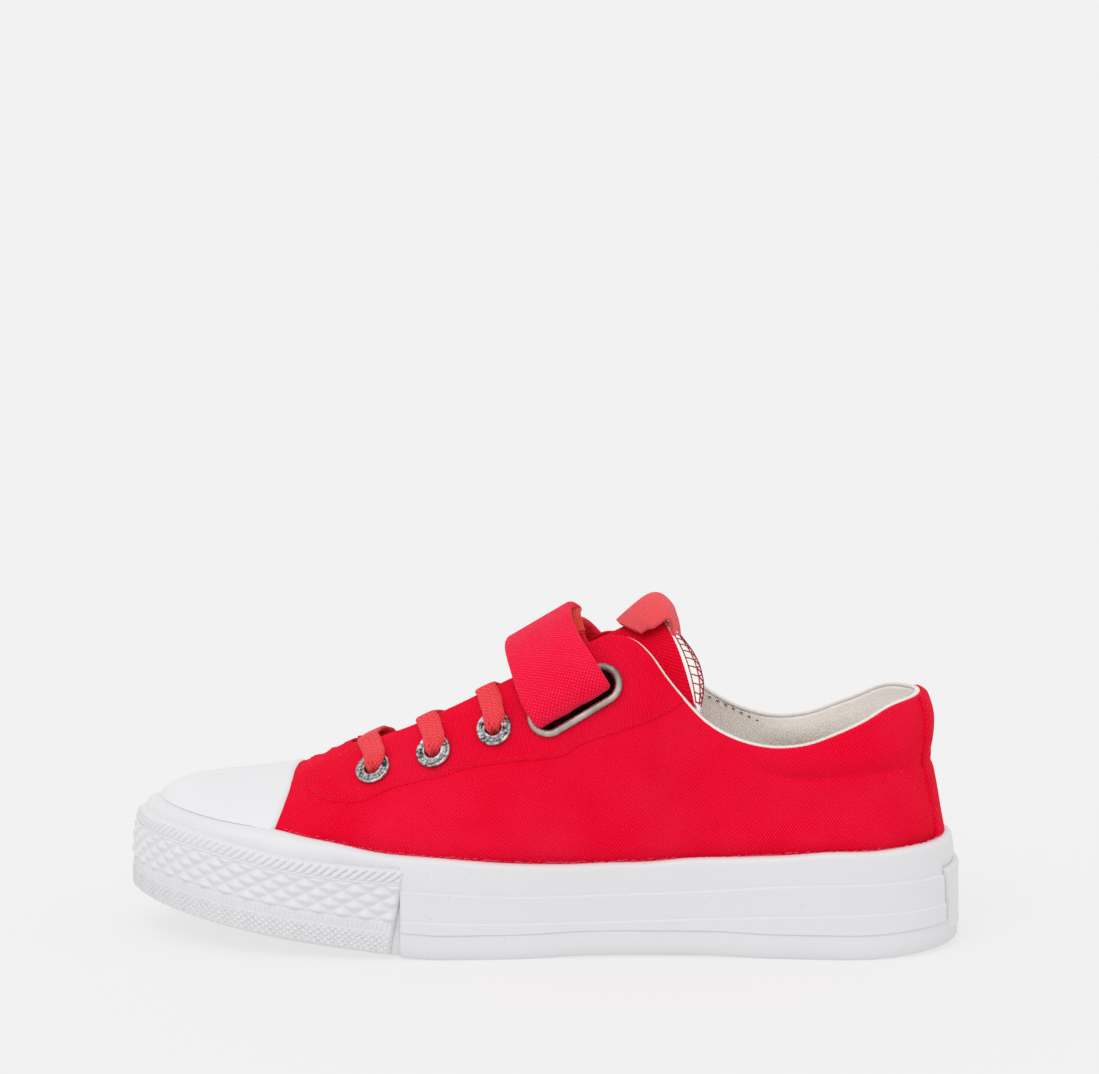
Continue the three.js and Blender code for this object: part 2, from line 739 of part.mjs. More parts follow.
function upper() {
  const depth = 14;
  const slot = new THREE.ExtrudeGeometry(slotOutline(SLOT_RADIUS + 0.5), {
    depth,
    bevelEnabled: false,
    curveSegments: 6,
  });
  slot.translate(0, 0, -depth / 2).applyMatrix4(slotFrame());
  const holes = Object.values(SIDES).flatMap((side) =>
    EYELETS.map((eyelet) =>
      new THREE.CylinderGeometry(EYELET_HOLE, EYELET_HOLE, depth, 12)
        .rotateX(Math.PI / 2)
        .applyMatrix4(eyeletFrame(eyelet, side)),
    ),
  );
  return cut(upperShell(), [slot, ...holes]);
}

function toeCap() {
  const bottomAngle = (station) => {
    const shoulder = section("shoulder", station);
    const rise = (bandTop(station) + GAP - shoulder) / (section("ridge", station) - shoulder);
    return Math.asin(Math.max(0, rise) ** (section("fullness", station) / 2));
  };
  const turns = 9;
  const steps = 6;
  const grid = (offset) => {
    const rows = [];
    for (const side of [MEDIAL, LATERAL]) {
      const half = spread(0, 1, steps).map((up) =>
        spread(0, 1, turns).map((along) => {
          const rear = THREE.MathUtils.lerp(CAP_REAR_SIDE, CAP_REAR_RIDGE, up ** 0.7);
          const turn = (along * Math.PI) / 2;
          const reach = (rear - TOE_END) / (1 - Math.cos(1.2));
          const station = TOE_END + reach * (1 - Math.cos((turn * 2.4) / Math.PI));
          const angle = THREE.MathUtils.lerp(bottomAngle(station), Math.PI / 2, up);
          return archPoint(station, side, angle, offset);
        }),
      );
      rows.push(...(side === MEDIAL ? half : half.reverse().slice(1)));
    }
    return rows;
  };
  return slab(grid(GAP + CAP_THICKNESS), grid(GAP), { pointed: true });
}

function heelStrip() {
  const low = bandTop(HEEL_END) + GAP + 0.4;
  const high = lookUp(COLLAR, "station", "height", HEEL_END) - 0.8;
  const steps = heelWalk(HEEL_STRIP_START, 3);
  const grid = (offset) =>
    steps.map(({ station, side }) =>
      spread(low, high, 9).map((z) => wallPoint(station, side, z, offset + COLLAR_BULGE * collarPad(station, z))),
    );
  return slab(grid(GAP + HEEL_STRIP_THICKNESS), grid(GAP));
}

// ---------------------------------------------------------------- tongue and pull loop
// A point of the tongue: along from 0 to 1, across from -1 on the medial side to 1, depth below its face.
function tonguePoint(along, across, depth) {
  const first = TONGUE_RIDGE[0].station;
  const last = TONGUE_RIDGE[TONGUE_RIDGE.length - 1].station;
  const station = THREE.MathUtils.lerp(first, last, along);
  const ridge = lookUp(TONGUE_RIDGE, "station", "height", station) - depth;
  const side = across < 0 ? MEDIAL : LATERAL;
  const edge = THREE.MathUtils.degToRad(THREE.MathUtils.lerp(52, 38, along));
  const angle = Math.PI / 2 - Math.abs(across) * (Math.PI / 2 - edge);
  const shoulder = section("shoulder", station);
  const slant = TONGUE_SLANT * smooth(104, last, station);
  const power = 2 / section("fullness", station);
  const rise = Math.sin(angle) ** power;
  const at = station + slant * (1 - rise);
  const width = section(side === MEDIAL ? "medial" : "lateral", at) - WALL - TONGUE_CLEARANCE - depth;
  const tilt = smooth(-0.2, 0.8, across) * (1 - smooth(0.7, 1, along));
  const drop = 0.9 * tilt * lookUp(LATERAL_DROP, "station", "drop", station);
  const y = side * width * Math.cos(angle) ** power;
  const place = new THREE.Vector3(at - LENGTH / 2, y, shoulder + (ridge - shoulder) * rise - drop);
  const [x, out, height] = ["station", "y", "height"].map((name) =>
    lookUp(TONGUE_END, "across", name, Math.abs(across)),
  );
  const lateral = Math.max(0, across);
  const end = new THREE.Vector3(x - 4.5 * lateral - LENGTH / 2, side * out, height - 6 * lateral - depth);
  return place.lerp(end, smooth(0.55, 1, along) ** 1.3);
}

function tongue() {
  const grid = (depth) =>
    spread(0, 1, 15).map((along) => spread(-1, 1, 10).map((across) => tonguePoint(along, across, depth)));
  return slab(grid(0), grid(TONGUE_THICKNESS));
}

// Side view of the webbing: up the tongue's face, round its end with room for a finger tip, and down its back.
function pullLoop() {
  const origin = { station: 133, height: 84.2 };
  const line = new THREE.CatmullRomCurve3([
    new THREE.Vector3(-7.6, 0, -5.6),
    new THREE.Vector3(-4.8, 0, -3.0),
    new THREE.Vector3(-2.2, 0, -0.8),
    new THREE.Vector3(-0.4, 0, 0.5),
    new THREE.Vector3(1.4, 0, 1.0),
    new THREE.Vector3(3.4, 0, -0.4),
    new THREE.Vector3(5.2, 0, -3.2),
    new THREE.Vector3(6.0, 0, -7.0),
    new THREE.Vector3(5.8, 0, -10.6),
  ]);
  const points = line.getSpacedPoints(12);
  const grid = (lift) =>
    points.map((point, i) => {
      const next = points[Math.min(i + 1, points.length - 1)];
      const before = points[Math.max(i - 1, 0)];
      const run = next.clone().sub(before).normalize();
      const out = new THREE.Vector3(-run.z, 0, run.x);
      const bend = smooth(0, 4, i);
      const back = smooth(5, 10, i);
      const shift = THREE.MathUtils.lerp(6.4, 4.3, bend) * (1 - 0.55 * back);
      const drop = THREE.MathUtils.lerp(2.4, 7.0, bend) * (1 - 0.3 * back);
      return spread(-1, 1, 4).map((share) => {
        const y = share * LOOP_HALF_WIDTH;
        const curl = Math.abs(share) ** 1.7;
        return new THREE.Vector3(
          origin.station - LENGTH / 2 + point.x + out.x * lift + curl * shift,
          y,
          origin.height + point.z + out.z * lift - curl * drop,
        );
      });
    });
  return slab(grid(1.1 + LOOP_THICKNESS / 2), grid(1.1 - LOOP_THICKNESS / 2));
}

// ---------------------------------------------------------------- strap, ring, eyelets and laces
// A flat band of even thickness along a line of points; the band's width runs along one direction.
function ribbon(points, widthwise, width, thickness) {
  const half = widthwise.clone().multiplyScalar(width / 2);
  const grid = (lift) =>
    points.map((point, i) => {
      const next = points[Math.min(i + 1, points.length - 1)];
      const before = points[Math.max(i - 1, 0)];
      const out = next.clone().sub(before).cross(widthwise).normalize().multiplyScalar(lift);
      const middle = point.clone().add(out);
      return [-1, 0, 1].map((share) => middle.clone().addScaledVector(half, share));
    });
  return slab(grid(thickness / 2), grid(-thickness / 2));
}

function strap() {
  const widthwise = new THREE.Vector3(Math.cos(SLOT_TILT), 0, Math.sin(SLOT_TILT));
  const rising = new THREE.Vector3(-Math.sin(SLOT_TILT), 0, Math.cos(SLOT_TILT));
  const centre = new THREE.Vector3(SLOT_STATION - LENGTH / 2, 0, SLOT_HEIGHT);
  const line = new THREE.CatmullRomCurve3(
    STRAP_LINE.map(({ y, rise }) => centre.clone().addScaledVector(rising, rise).setY(y)),
    false,
    "centripetal",
  );
  return ribbon(line.getSpacedPoints(50), widthwise, STRAP_WIDTH, STRAP_THICKNESS);
}

// A rounded metal lip outside the wall, joined through the slot to a flatter lip inside.
function slotRing() {
  const lip = [
    { out: 0, lift: -0.9 },
    { out: 0, lift: 1.0 },
    { out: 0.5, lift: 1.6 },
    { out: 1.3, lift: 1.7 },
    { out: RING_WIDTH, lift: 1.3 },
    { out: RING_WIDTH, lift: 0.8 },
    { out: 0.4, lift: 0.7 },
    { out: 0.35, lift: -0.9 },
  ];
  const outline = (distance) =>
    slotOutline(SLOT_RADIUS + distance).getPoints(6).slice(0, -1);
  const rings = [...lip, lip[0]].map(({ out, lift }) =>
    outline(out).map((point) => new THREE.Vector3(point.x, point.y, lift)),
  );
  const skin = new Skin();
  skin.sheet(rings.map((ring) => [...ring, ring[0]]));
  return outwards(skin.geometry()).applyMatrix4(slotFrame());
}

// The flange's outer face is domed; the barrel goes through the wall with clearance all round.
function eyeletGeometry() {
  const profile = [
    [2.0, -1.6],
    [2.3, -1.6],
    [2.3, 0.5],
    [EYELET_RADIUS, 0.6],
    [4.0, 1.3],
    [2.7, 1.5],
    [2.0, 0.9],
    [2.0, -1.6],
  ].map(([r, z]) => new THREE.Vector2(r, z));
  return new THREE.LatheGeometry(profile, 12).rotateX(Math.PI / 2);
}

// Each bar runs from above one eyelet, over both facings and the tongue, to above the other eyelet.
// It leans a little towards the toe on its way up.
function laceBar(eyelet) {
  const lift = 2.6 * GAP + LACE_THICKNESS / 2;
  const widthwise = new THREE.Vector3(Math.cos(LACE_SLOPE), 0, Math.sin(LACE_SLOPE));
  const start = eyelet.height + 1.05 * EYELET_RADIUS;
  const half = (side) =>
    spread(0, 1, 5).map((share) => {
      const station = eyelet.station - LACE_LEAN * share;
      const shoulder = section("shoulder", station);
      const rise = (start - shoulder) / (section("ridge", station) - shoulder);
      const low = Math.asin(rise ** (section("fullness", station) / 2));
      const angle = THREE.MathUtils.lerp(low, edgeAngle(station, side), share);
      return archPoint(station, side, angle, lift);
    });
  const medial = half(MEDIAL);
  const lateral = half(LATERAL).reverse();
  const [from, to] = [medial[medial.length - 1], lateral[0]];
  const middle = spread(0, 1, 8)
    .slice(1, -1)
    .map((t) => {
      const point = from.clone().lerp(to, t);
      point.z += LACE_CROWN * (1 - (2 * t - 1) ** 2);
      return point;
    });
  return ribbon([...medial, ...middle, ...lateral], widthwise, LACE_WIDTH, LACE_THICKNESS);
}

// ---------------------------------------------------------------- assembly
const sneaker = new THREE.Group();
sneaker.name = "sneaker";
sneaker.position.y = MIDLINE;

function add(name, geometry, colour, matrix) {
  const mesh = new THREE.Mesh(geometry, new THREE.MeshStandardMaterial(COLOURS[colour]));
  mesh.name = name;
  if (matrix) mesh.applyMatrix4(matrix);
  sneaker.add(mesh);
}

add("outsole", outsole(), "rubber");
add("foxing", foxing(), "rubber");
add("toe_bumper", toeBumper(), "rubber");
add("heel_patch", heelPatch(), "rubber");
add("toe_cap", toeCap(), "rubber");
add("insole", insole(), "lining");
add("upper", upper(), "canvas");
add("heel_strip", heelStrip(), "canvas");
add("tongue", tongue(), "canvas");
add("pull_loop", pullLoop(), "webbing");
add("strap", strap(), "canvas");
add("slot_ring", slotRing(), "metal");
EYELETS.forEach((eyelet, i) => {
  for (const [name, side] of Object.entries(SIDES))
    add(`eyelet_${name}_${i + 1}`, eyeletGeometry(), "metal", eyeletFrame(eyelet, side));
  add(`lace_bar_${i + 1}`, laceBar(eyelet), "webbing");
});

export default sneaker;
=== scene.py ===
"""Looks of a child's canvas sneaker for the right foot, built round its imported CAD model.

Every size below is in millimetres in the last's own frame: stations run from the toe tip, -Y is the medial
side and +Z is up. metres() turns such a point into the scene's frame.
"""

import math

import bmesh
import bpy
import numpy as np
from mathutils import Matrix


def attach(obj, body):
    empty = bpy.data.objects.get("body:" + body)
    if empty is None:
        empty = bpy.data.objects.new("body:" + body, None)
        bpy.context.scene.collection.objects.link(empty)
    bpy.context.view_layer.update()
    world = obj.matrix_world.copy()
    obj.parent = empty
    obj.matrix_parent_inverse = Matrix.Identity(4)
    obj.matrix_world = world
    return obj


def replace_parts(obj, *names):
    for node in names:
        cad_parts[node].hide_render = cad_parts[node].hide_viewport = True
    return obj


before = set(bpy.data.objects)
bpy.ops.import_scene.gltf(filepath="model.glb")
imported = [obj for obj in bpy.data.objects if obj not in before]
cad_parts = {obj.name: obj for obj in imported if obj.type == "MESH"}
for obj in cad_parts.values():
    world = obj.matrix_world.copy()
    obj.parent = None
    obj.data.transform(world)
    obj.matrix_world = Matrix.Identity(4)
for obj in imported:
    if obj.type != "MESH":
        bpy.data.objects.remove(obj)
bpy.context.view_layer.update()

MIDLINE = -2.4  # y of the last's middle plane in the scene's frame
UP = np.array([0.0, 0.0, 1.0])


def metres(points):
    return (np.asarray(points, dtype=float) + (0, MIDLINE, 0)) * 0.001


# ---------------------------------------------------------------- camera
CAMERA_PLACE = (63.1, -878.7, 212.0)  # millimetres, at the photograph's angle
CAMERA_PITCH = 7.16
CAMERA_YAW = 4.0
CAMERA_LENS = 115.0


def new_object(name, data):
    thing = bpy.data.objects.new(name, data)
    bpy.context.scene.collection.objects.link(thing)
    return thing


def add_camera():
    data = bpy.data.cameras.new("camera")
    data.lens = CAMERA_LENS
    camera = new_object("camera", data)
    camera.location = metres(CAMERA_PLACE)
    camera.rotation_euler = (math.radians(90 - CAMERA_PITCH), 0, math.radians(CAMERA_YAW))
    bpy.context.scene.camera = camera


add_camera()

# ---------------------------------------------------------------- the last and its surfaces, in millimetres
LENGTH = 212
MEDIAL, LATERAL = -1, 1
SIDES = {"medial": MEDIAL, "lateral": LATERAL}
TOE_END, HEEL_END = 3.4, 208.4
TOE_REACH, HEEL_REACH = 48, 28
TOE_ROUNDNESS, HEEL_ROUNDNESS = 1.85, 2.15
OUTSOLE_THICKNESS = 6.5
GAP = 0.3
WALL = 1.8
COLLAR_BULGE, COLLAR_PADDING = 0.9, 1.6
THROAT_START, LOBE_FROM, LOBE_TO = 57, 118, 129


def table(names, *rows):
    """Columns of a small table, by name; the first column is the key."""
    columns = np.array(rows, dtype=float).T
    return dict(zip(names.split(), columns))


SECTIONS = table(
    "station medial lateral shoulder ridge fullness",
    (3.4, 32.5, 31.0, 25.0, 35.0, 2.3),
    (10, 32.8, 32.0, 24.5, 37.6, 2.3),
    (20, 33.0, 33.4, 23.5, 38.6, 2.2),
    (32, 33.1, 35.0, 22.0, 39.8, 2.1),
    (41, 33.2, 36.0, 20.5, 41.2, 2.0),
    (48, 33.2, 36.7, 19.6, 44.3, 1.9),
    (57, 33.2, 37.4, 18.5, 48.4, 1.8),
    (65, 33.1, 37.9, 17.5, 54.4, 1.7),
    (73, 33.0, 38.0, 17.0, 59.3, 1.66),
    (84, 32.2, 37.4, 17.0, 66.3, 1.7),
    (95, 31.0, 36.0, 17.0, 73.8, 1.76),
    (107, 29.0, 34.0, 17.0, 82.4, 1.9),
    (118, 27.3, 32.0, 17.0, 90.5, 2.1),
    (130, 25.8, 30.0, 17.0, 95.0, 2.3),
    (150, 25.0, 27.6, 17.0, 95.6, 2.45),
    (170, 25.2, 26.5, 17.0, 96.4, 2.6),
    (208.4, 25.5, 25.5, 17.0, 97.0, 2.6),
)
BAND_TOP = table(
    "station height",
    (3.4, 34.1), (12, 33.6), (25, 32.5), (41, 31.1), (53, 29.0), (68, 26.4), (88, 24.7), (107, 23.6),
    (127, 23.7), (147, 24.7), (167, 25.9), (187, 26.9), (208.4, 27.6),
)
THROAT = table(
    "station half_gap",
    (57, 0), (57.9, 4.2), (59.6, 6.8), (62, 8.8), (66, 10.6), (73, 12.0), (84, 13.0), (95, 14.0),
    (107, 15.3), (118, 16.5), (130, 17.8),
)
COLLAR = table(
    "station height",
    (116, 80.6), (124, 79.6), (130, 78.0), (134, 74.6), (138, 69.2), (143, 63.4), (148, 58.6), (154, 55.2),
    (161, 53.0), (168, 52.3), (176, 53.2), (184, 55.8), (192, 58.8), (200, 62.2), (208.4, 63.6),
)
HEEL_SET_BACK = table("height set_in", (0, 0), (20, 0.3), (33, 2.2), (48, 4.9), (58, 5.3), (66, 7.0))
TOE_SET_BACK = table(
    "height set_in", (0, 0), (16, 0), (26, 0.6), (30.5, 1.6), (32.5, 3.2), (35, 5.2), (60, 8.0)
)
LATERAL_DROP = table(
    "station drop",
    (57, 0), (60, 1.4), (63, 2.9), (66, 4.1), (73, 5.8), (84, 8.0), (95, 9.0), (107, 9.0), (118, 8.2),
    (126, 7.4), (132, 5.6), (138, 3.2), (144, 1.2), (150, 0),
)
TONGUE_RIDGE = table(
    "station height",
    (55, 42.7), (60, 45.0), (66, 48.2), (73, 51.4), (84, 55.6), (92, 59.6), (98, 64.4), (104, 69.0),
    (110, 71.6), (117, 73.4), (124, 75.2), (130, 79.6), (133, 82.2),
)


def hermite(t, a, slope_a, b, slope_b, span=1.0):
    """The cubic from a to b as t goes from 0 to 1, with given slopes over a span."""
    start = (2 * t**3 - 3 * t**2 + 1) * a + (t**3 - 2 * t**2 + t) * span * slope_a
    return start + (3 * t**2 - 2 * t**3) * b + (t**3 - t**2) * span * slope_b


def look_up(rows, column, at):
    """Smooth interpolation in a table whose first column is the key."""
    places, values = next(iter(rows.values())), rows[column]
    at = np.clip(np.asarray(at, dtype=float), places[0], places[-1])
    i = np.clip(np.searchsorted(places[1:], at), 0, len(places) - 2)
    slopes = np.gradient(values) / np.gradient(places)
    span = places[i + 1] - places[i]
    return hermite((at - places[i]) / span, values[i], slopes[i], values[i + 1], slopes[i + 1], span)


def smooth(low, high, at):
    t = np.clip((np.asarray(at, dtype=float) - low) / (high - low), 0, 1)
    return t * t * (3 - 2 * t)


def mix(a, b, share):
    return a + (b - a) * share


def rounding(inside, radius):
    """Height of a rounded edge: 0 at the edge and 1 from one radius inside it."""
    return np.sqrt(np.clip(1 - (1 - np.minimum(inside / radius, 1)) ** 2, 0, 1))


def oval(width, height, count):
    """Outline with half axes width and height, anticlockwise."""
    turn = np.linspace(0, 2 * np.pi, count, endpoint=False)
    return np.stack([width * np.cos(turn), height * np.sin(turn)], -1)


def sample(at, run, line):
    """Points of a line at running lengths."""
    return np.stack([np.interp(at, run, line[:, k]) for k in range(line.shape[1])], -1)


def at_height(outline, height):
    """A flat outline lifted to a height, as points in three dimensions."""
    return np.concatenate([outline, np.full((*outline.shape[:-1], 1), height)], -1)


def section(column, station):
    """A section's number at a station, softened so the surface has no crease where the table turns."""
    station = np.asarray(station, dtype=float)
    reach = np.clip(np.minimum(station - TOE_END, HEEL_END - station), 0, 4)
    return sum(look_up(SECTIONS, column, station + reach * step) for step in (-1, -0.5, 0, 0.5, 1)) / 5


def ridge(side, station):
    """Crown of one side's section; behind the vamp the lateral side is lower."""
    drop = look_up(LATERAL_DROP, "drop", station)
    return section("ridge", station) - np.where(np.asarray(side) > 0, drop, 0.0)


def half_width(side, station):
    return np.where(np.asarray(side) < 0, section("medial", station), section("lateral", station))


def band_top(station):
    return look_up(BAND_TOP, "height", station)


def ground(station):
    station = np.asarray(station, dtype=float)
    spring = np.maximum(0, (82 - station) / 82)
    arch = smooth(102, 120, station) * (1 - smooth(148, 166, station))
    return 11.5 * spring**1.25 + 0.6 * arch + 1.2 * smooth(186, LENGTH, station)


def toe_and_heel(station):
    toe = np.clip((np.asarray(station, dtype=float) - TOE_END) / TOE_REACH, 0, 1)
    heel = np.clip((HEEL_END - station) / HEEL_REACH, 0, 1)
    return toe, heel


def end_rounding(station):
    toe, heel = toe_and_heel(station)
    front = (1 - (1 - toe) ** 2) ** (1 / TOE_ROUNDNESS)
    back = (1 - (1 - heel) ** HEEL_ROUNDNESS) ** (1 / HEEL_ROUNDNESS)
    return front * back


def end_shift(station):
    toe, heel = toe_and_heel(station)
    return toe - heel


def set_back(station, height):
    toe, _ = toe_and_heel(station)
    front = look_up(TOE_SET_BACK, "set_in", height) * (1 - toe) ** 1.5
    return front - look_up(HEEL_SET_BACK, "set_in", height) * smooth(140, HEEL_END, station)


def collar_pad(station, height):
    edge = look_up(COLLAR, "height", station)
    seam = 44.5 + 4.5 * smooth(185, HEEL_END, station)
    up = np.clip((height - seam) / (edge - seam), 0, 1)
    return smooth(156, 172, station) * np.sin(np.pi * np.minimum(up, 0.86)) ** 0.6


def wall(station, side, height, offset=0.0):
    """A point of the last's own surface at a height, moved out by offset."""
    shoulder = section("shoulder", station)
    fullness = section("fullness", station)
    rise = np.clip((height - shoulder) / (ridge(side, station) - shoulder), 0, 1)
    lean = (1 - rise**fullness) ** (1 / fullness)
    y = side * (half_width(side, station) * lean + offset) * end_rounding(station)
    x = station + end_shift(station) * offset + set_back(station, height) - LENGTH / 2
    return np.stack(np.broadcast_arrays(x, y, height), -1).astype(float)


def arch(station, side, angle, offset=0.0):
    """A point of the section's curve by its angle: 0 at the feather line, a right angle at the ridge."""
    shoulder = section("shoulder", station)
    crown = ridge(side, station) + offset
    power = 2 / section("fullness", station)
    cosine = np.maximum(np.cos(angle), 0)
    z = shoulder + (crown - shoulder) * np.sin(angle) ** power
    y = side * (half_width(side, station) + offset) * cosine**power * end_rounding(station)
    x = station + end_shift(station) * offset * cosine + set_back(station, z) - LENGTH / 2
    return np.stack(np.broadcast_arrays(x, y, z), -1).astype(float)


def level_on(side, station, height):
    """The height on one side that answers to a height on the medial side."""
    shoulder = section("shoulder", station)
    tall = section("ridge", station) - shoulder
    return shoulder + (height - shoulder) * (ridge(side, station) - shoulder) / tall


def angle_at(station, height):
    """Angle of the section's curve at a height on the medial side."""
    shoulder = section("shoulder", station)
    rise = np.clip((height - shoulder) / (section("ridge", station) - shoulder), 0, 1)
    return np.arcsin(rise ** (section("fullness", station) / 2))


def edge_angle(station, side):
    """Angle of the upper's edge: the ridge over the vamp, then the facing's edge, then the collar."""
    station = np.asarray(station, dtype=float)
    fullness = section("fullness", station)
    gap = look_up(THROAT, "half_gap", station)
    width = np.maximum(half_width(side, station) * end_rounding(station), gap + 1e-6)
    facing = np.arccos(np.minimum(1, gap / width) ** (fullness / 2))
    collar = angle_at(station, look_up(COLLAR, "height", station))
    angle = mix(facing, collar, smooth(LOBE_FROM, LOBE_TO, station))
    return np.where(station <= THROAT_START, np.pi / 2, angle)


# ---------------------------------------------------------------- meshes from grids
def unit(v):
    return v / np.maximum(np.linalg.norm(v, axis=-1, keepdims=True), 1e-9)


def grid_faces(columns, rows, wrap=False):
    c, r = np.meshgrid(np.arange(columns if wrap else columns - 1), np.arange(rows - 1), indexing="ij")
    n = (c + 1) % columns
    return np.stack([c * rows + r, n * rows + r, n * rows + r + 1, c * rows + r + 1], -1).reshape(-1, 4)


def grid_normals(points, wrap=False):
    """Normals of a grid whose columns run anticlockwise seen from above and whose rows go up."""
    if wrap:
        along = np.roll(points, -1, 0) - np.roll(points, 1, 0)
    else:
        along = np.gradient(points, axis=0)
    return unit(np.cross(along, np.gradient(points, axis=1)))


def lengths(points, axis):
    """Running length along one axis of a grid of points."""
    steps = np.linalg.norm(np.diff(points, axis=axis), axis=-1)
    first = np.zeros_like(np.take(steps, [0], axis=axis))
    return np.concatenate([first, np.cumsum(steps, axis=axis)], axis=axis)


def cloth_uv(points, wrap=False):
    """Flat cloth coordinates of a grid: running lengths along its middle row and up each column."""
    closed = np.concatenate([points, points[:1]]) if wrap else points
    u = lengths(closed, 0)[:, closed.shape[1] // 2][:, None]
    v = lengths(closed, 1)
    return np.stack(np.broadcast_arrays(u, v), -1)


def build(name, points, faces, uvs, material, slot, sharp=35, merge=0.0):
    """A mesh object from points in millimetres, four-cornered faces and one UV for each corner of a face."""
    mesh = bpy.data.meshes.new(name)
    mesh.vertices.add(len(points))
    mesh.vertices.foreach_set("co", metres(points).astype(np.float32).ravel())
    mesh.loops.add(faces.size)
    mesh.loops.foreach_set("vertex_index", faces.astype(np.int32).ravel())
    mesh.polygons.add(len(faces))
    mesh.polygons.foreach_set("loop_start", np.arange(0, faces.size, 4, dtype=np.int32))
    layer = mesh.uv_layers.new(name="cloth")
    layer.data.foreach_set("uv", uvs.astype(np.float32).ravel())
    mesh.update(calc_edges=True)
    mesh.validate()
    if merge:
        tidy_mesh(mesh, merge)
    mesh.polygons.foreach_set("use_smooth", np.ones(len(mesh.polygons), dtype=bool))
    mesh.set_sharp_from_angle(angle=math.radians(sharp))
    mesh.materials.append(material)
    piece = new_object(name, mesh)
    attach(piece, "root")
    return piece


def tidy_mesh(mesh, distance):
    """Joins points that meet and drops the faces that shrink to nothing."""
    work = bmesh.new()
    work.from_mesh(mesh)
    bmesh.ops.remove_doubles(work, verts=work.verts, dist=distance * 0.001)
    bmesh.ops.dissolve_degenerate(work, edges=work.edges, dist=distance * 0.0005)
    work.to_mesh(mesh)
    work.free()


def slab_faces(outer, inner, uv, wrap=False, high_rim=None):
    """Points, faces and UVs of a closed shell between an outer and an inner grid.
    high_rim says at which columns the top edge is closed; by default at all of them."""
    columns, rows = outer.shape[:2]
    count = columns * rows
    points = np.concatenate([outer.reshape(-1, 3), inner.reshape(-1, 3)])
    front = grid_faces(columns, rows, wrap)
    full = uv.shape[0]
    flat_uv = uv.reshape(-1, 2)
    uv_faces = grid_faces(full, rows)
    depth = float(np.linalg.norm(outer - inner, axis=-1).mean())
    faces, uvs = [front, front[:, ::-1] + count], [flat_uv[uv_faces], flat_uv[uv_faces[:, ::-1]]]

    def rim(a, b, uv_a, uv_b, shift):
        """A strip of faces from the outer points a, b to the inner ones behind them."""
        faces.append(np.stack([a, b, b + count, a + count], -1))
        strip = np.stack([flat_uv[uv_a], flat_uv[uv_b], flat_uv[uv_b] + shift, flat_uv[uv_a] + shift], 1)
        uvs.append(strip)

    c = np.arange(columns if wrap else columns - 1)
    n = (c + 1) % columns
    last = rows - 1
    rim(n * rows, c * rows, (c + 1) * rows, c * rows, (0, -depth))
    keep = np.ones(len(c), dtype=bool) if high_rim is None else high_rim[:-1] & high_rim[1:]
    c, n = c[keep], n[keep]
    rim(c * rows + last, n * rows + last, c * rows + last, (c + 1) * rows + last, (0, depth))
    if not wrap:
        r = np.arange(rows - 1)
        rim(r, r + 1, r, r + 1, (-depth, 0))
        end = (columns - 1) * rows
        rim(end + r + 1, end + r, end + r + 1, end + r, (depth, 0))
    return points, np.concatenate(faces), np.concatenate(uvs)


def shell(name, outer, inner, material, slot, uv=None, wrap=False, sharp=35, merge=0.0, high_rim=None):
    uv = cloth_uv(outer, wrap) if uv is None else uv
    points, faces, uvs = slab_faces(outer, inner, uv, wrap, high_rim)
    return build(name, points, faces, uvs, material, slot, sharp, merge)


def join_parts(name, parts, material, slot, sharp=40):
    """One piece from many small closed parts, each given as points, faces and UVs."""
    starts = np.cumsum([0] + [len(points) for points, _, _ in parts])
    points = np.concatenate([part[0] for part in parts])
    faces = np.concatenate([part[1] + start for part, start in zip(parts, starts)])
    uvs = np.concatenate([part[2] for part in parts])
    return build(name, points, faces, uvs, material, slot, sharp)


# ---------------------------------------------------------------- bands and cords swept along a line
def spline(points, count):
    """A smooth line through a few points, spaced evenly, by centripetal Catmull-Rom pieces."""
    points = np.asarray(points, dtype=float)
    ends = np.concatenate([[2 * points[0] - points[1]], points, [2 * points[-1] - points[-2]]])
    fine = []
    for p0, p1, p2, p3 in zip(ends, ends[1:], ends[2:], ends[3:]):
        d1, d2, d3 = (max(np.linalg.norm(b - a), 1e-6) ** 0.5 for a, b in ((p0, p1), (p1, p2), (p2, p3)))
        m1 = (p1 - p0) / d1 - (p2 - p0) / (d1 + d2) + (p2 - p1) / d2
        m2 = (p2 - p1) / d2 - (p3 - p1) / (d2 + d3) + (p3 - p2) / d3
        t = np.linspace(0, 1, 24, endpoint=False)[:, None]
        fine.append(hermite(t, p1, m1 * d2, p2, m2 * d2))
    return respaced(np.concatenate(fine + [points[-1:]]), count)


def respaced(line, count, closed=False):
    if closed:
        line = np.concatenate([line, line[:1]])
    run = lengths(line, 0)
    even = np.linspace(0, run[-1], count + (1 if closed else 0))
    even = even[:-1] if closed else even
    return sample(even, run, line)


def flat_section(count, squareness):
    """Outline of a flat band with rounded edges: across and up, each from -1 to 1."""
    turn = oval(1, 1, count)
    return np.sign(turn) * np.abs(turn) ** (squareness, 0.9)


def sweep(line, across, sections, closed=False):
    """Rings of a tube along a line. across is the direction of the section's width there."""
    along = np.roll(line, -1, 0) - np.roll(line, 1, 0) if closed else np.gradient(line, axis=0)
    along = unit(along)
    across = np.broadcast_to(across, line.shape)
    across = unit(across - (across * along).sum(-1, keepdims=True) * along)
    up = np.cross(along, across)
    sections = np.broadcast_to(sections, (len(line), *np.shape(sections)[-2:]))
    return line[:, None] + sections[..., :1] * across[:, None] + sections[..., 1:] * up[:, None]


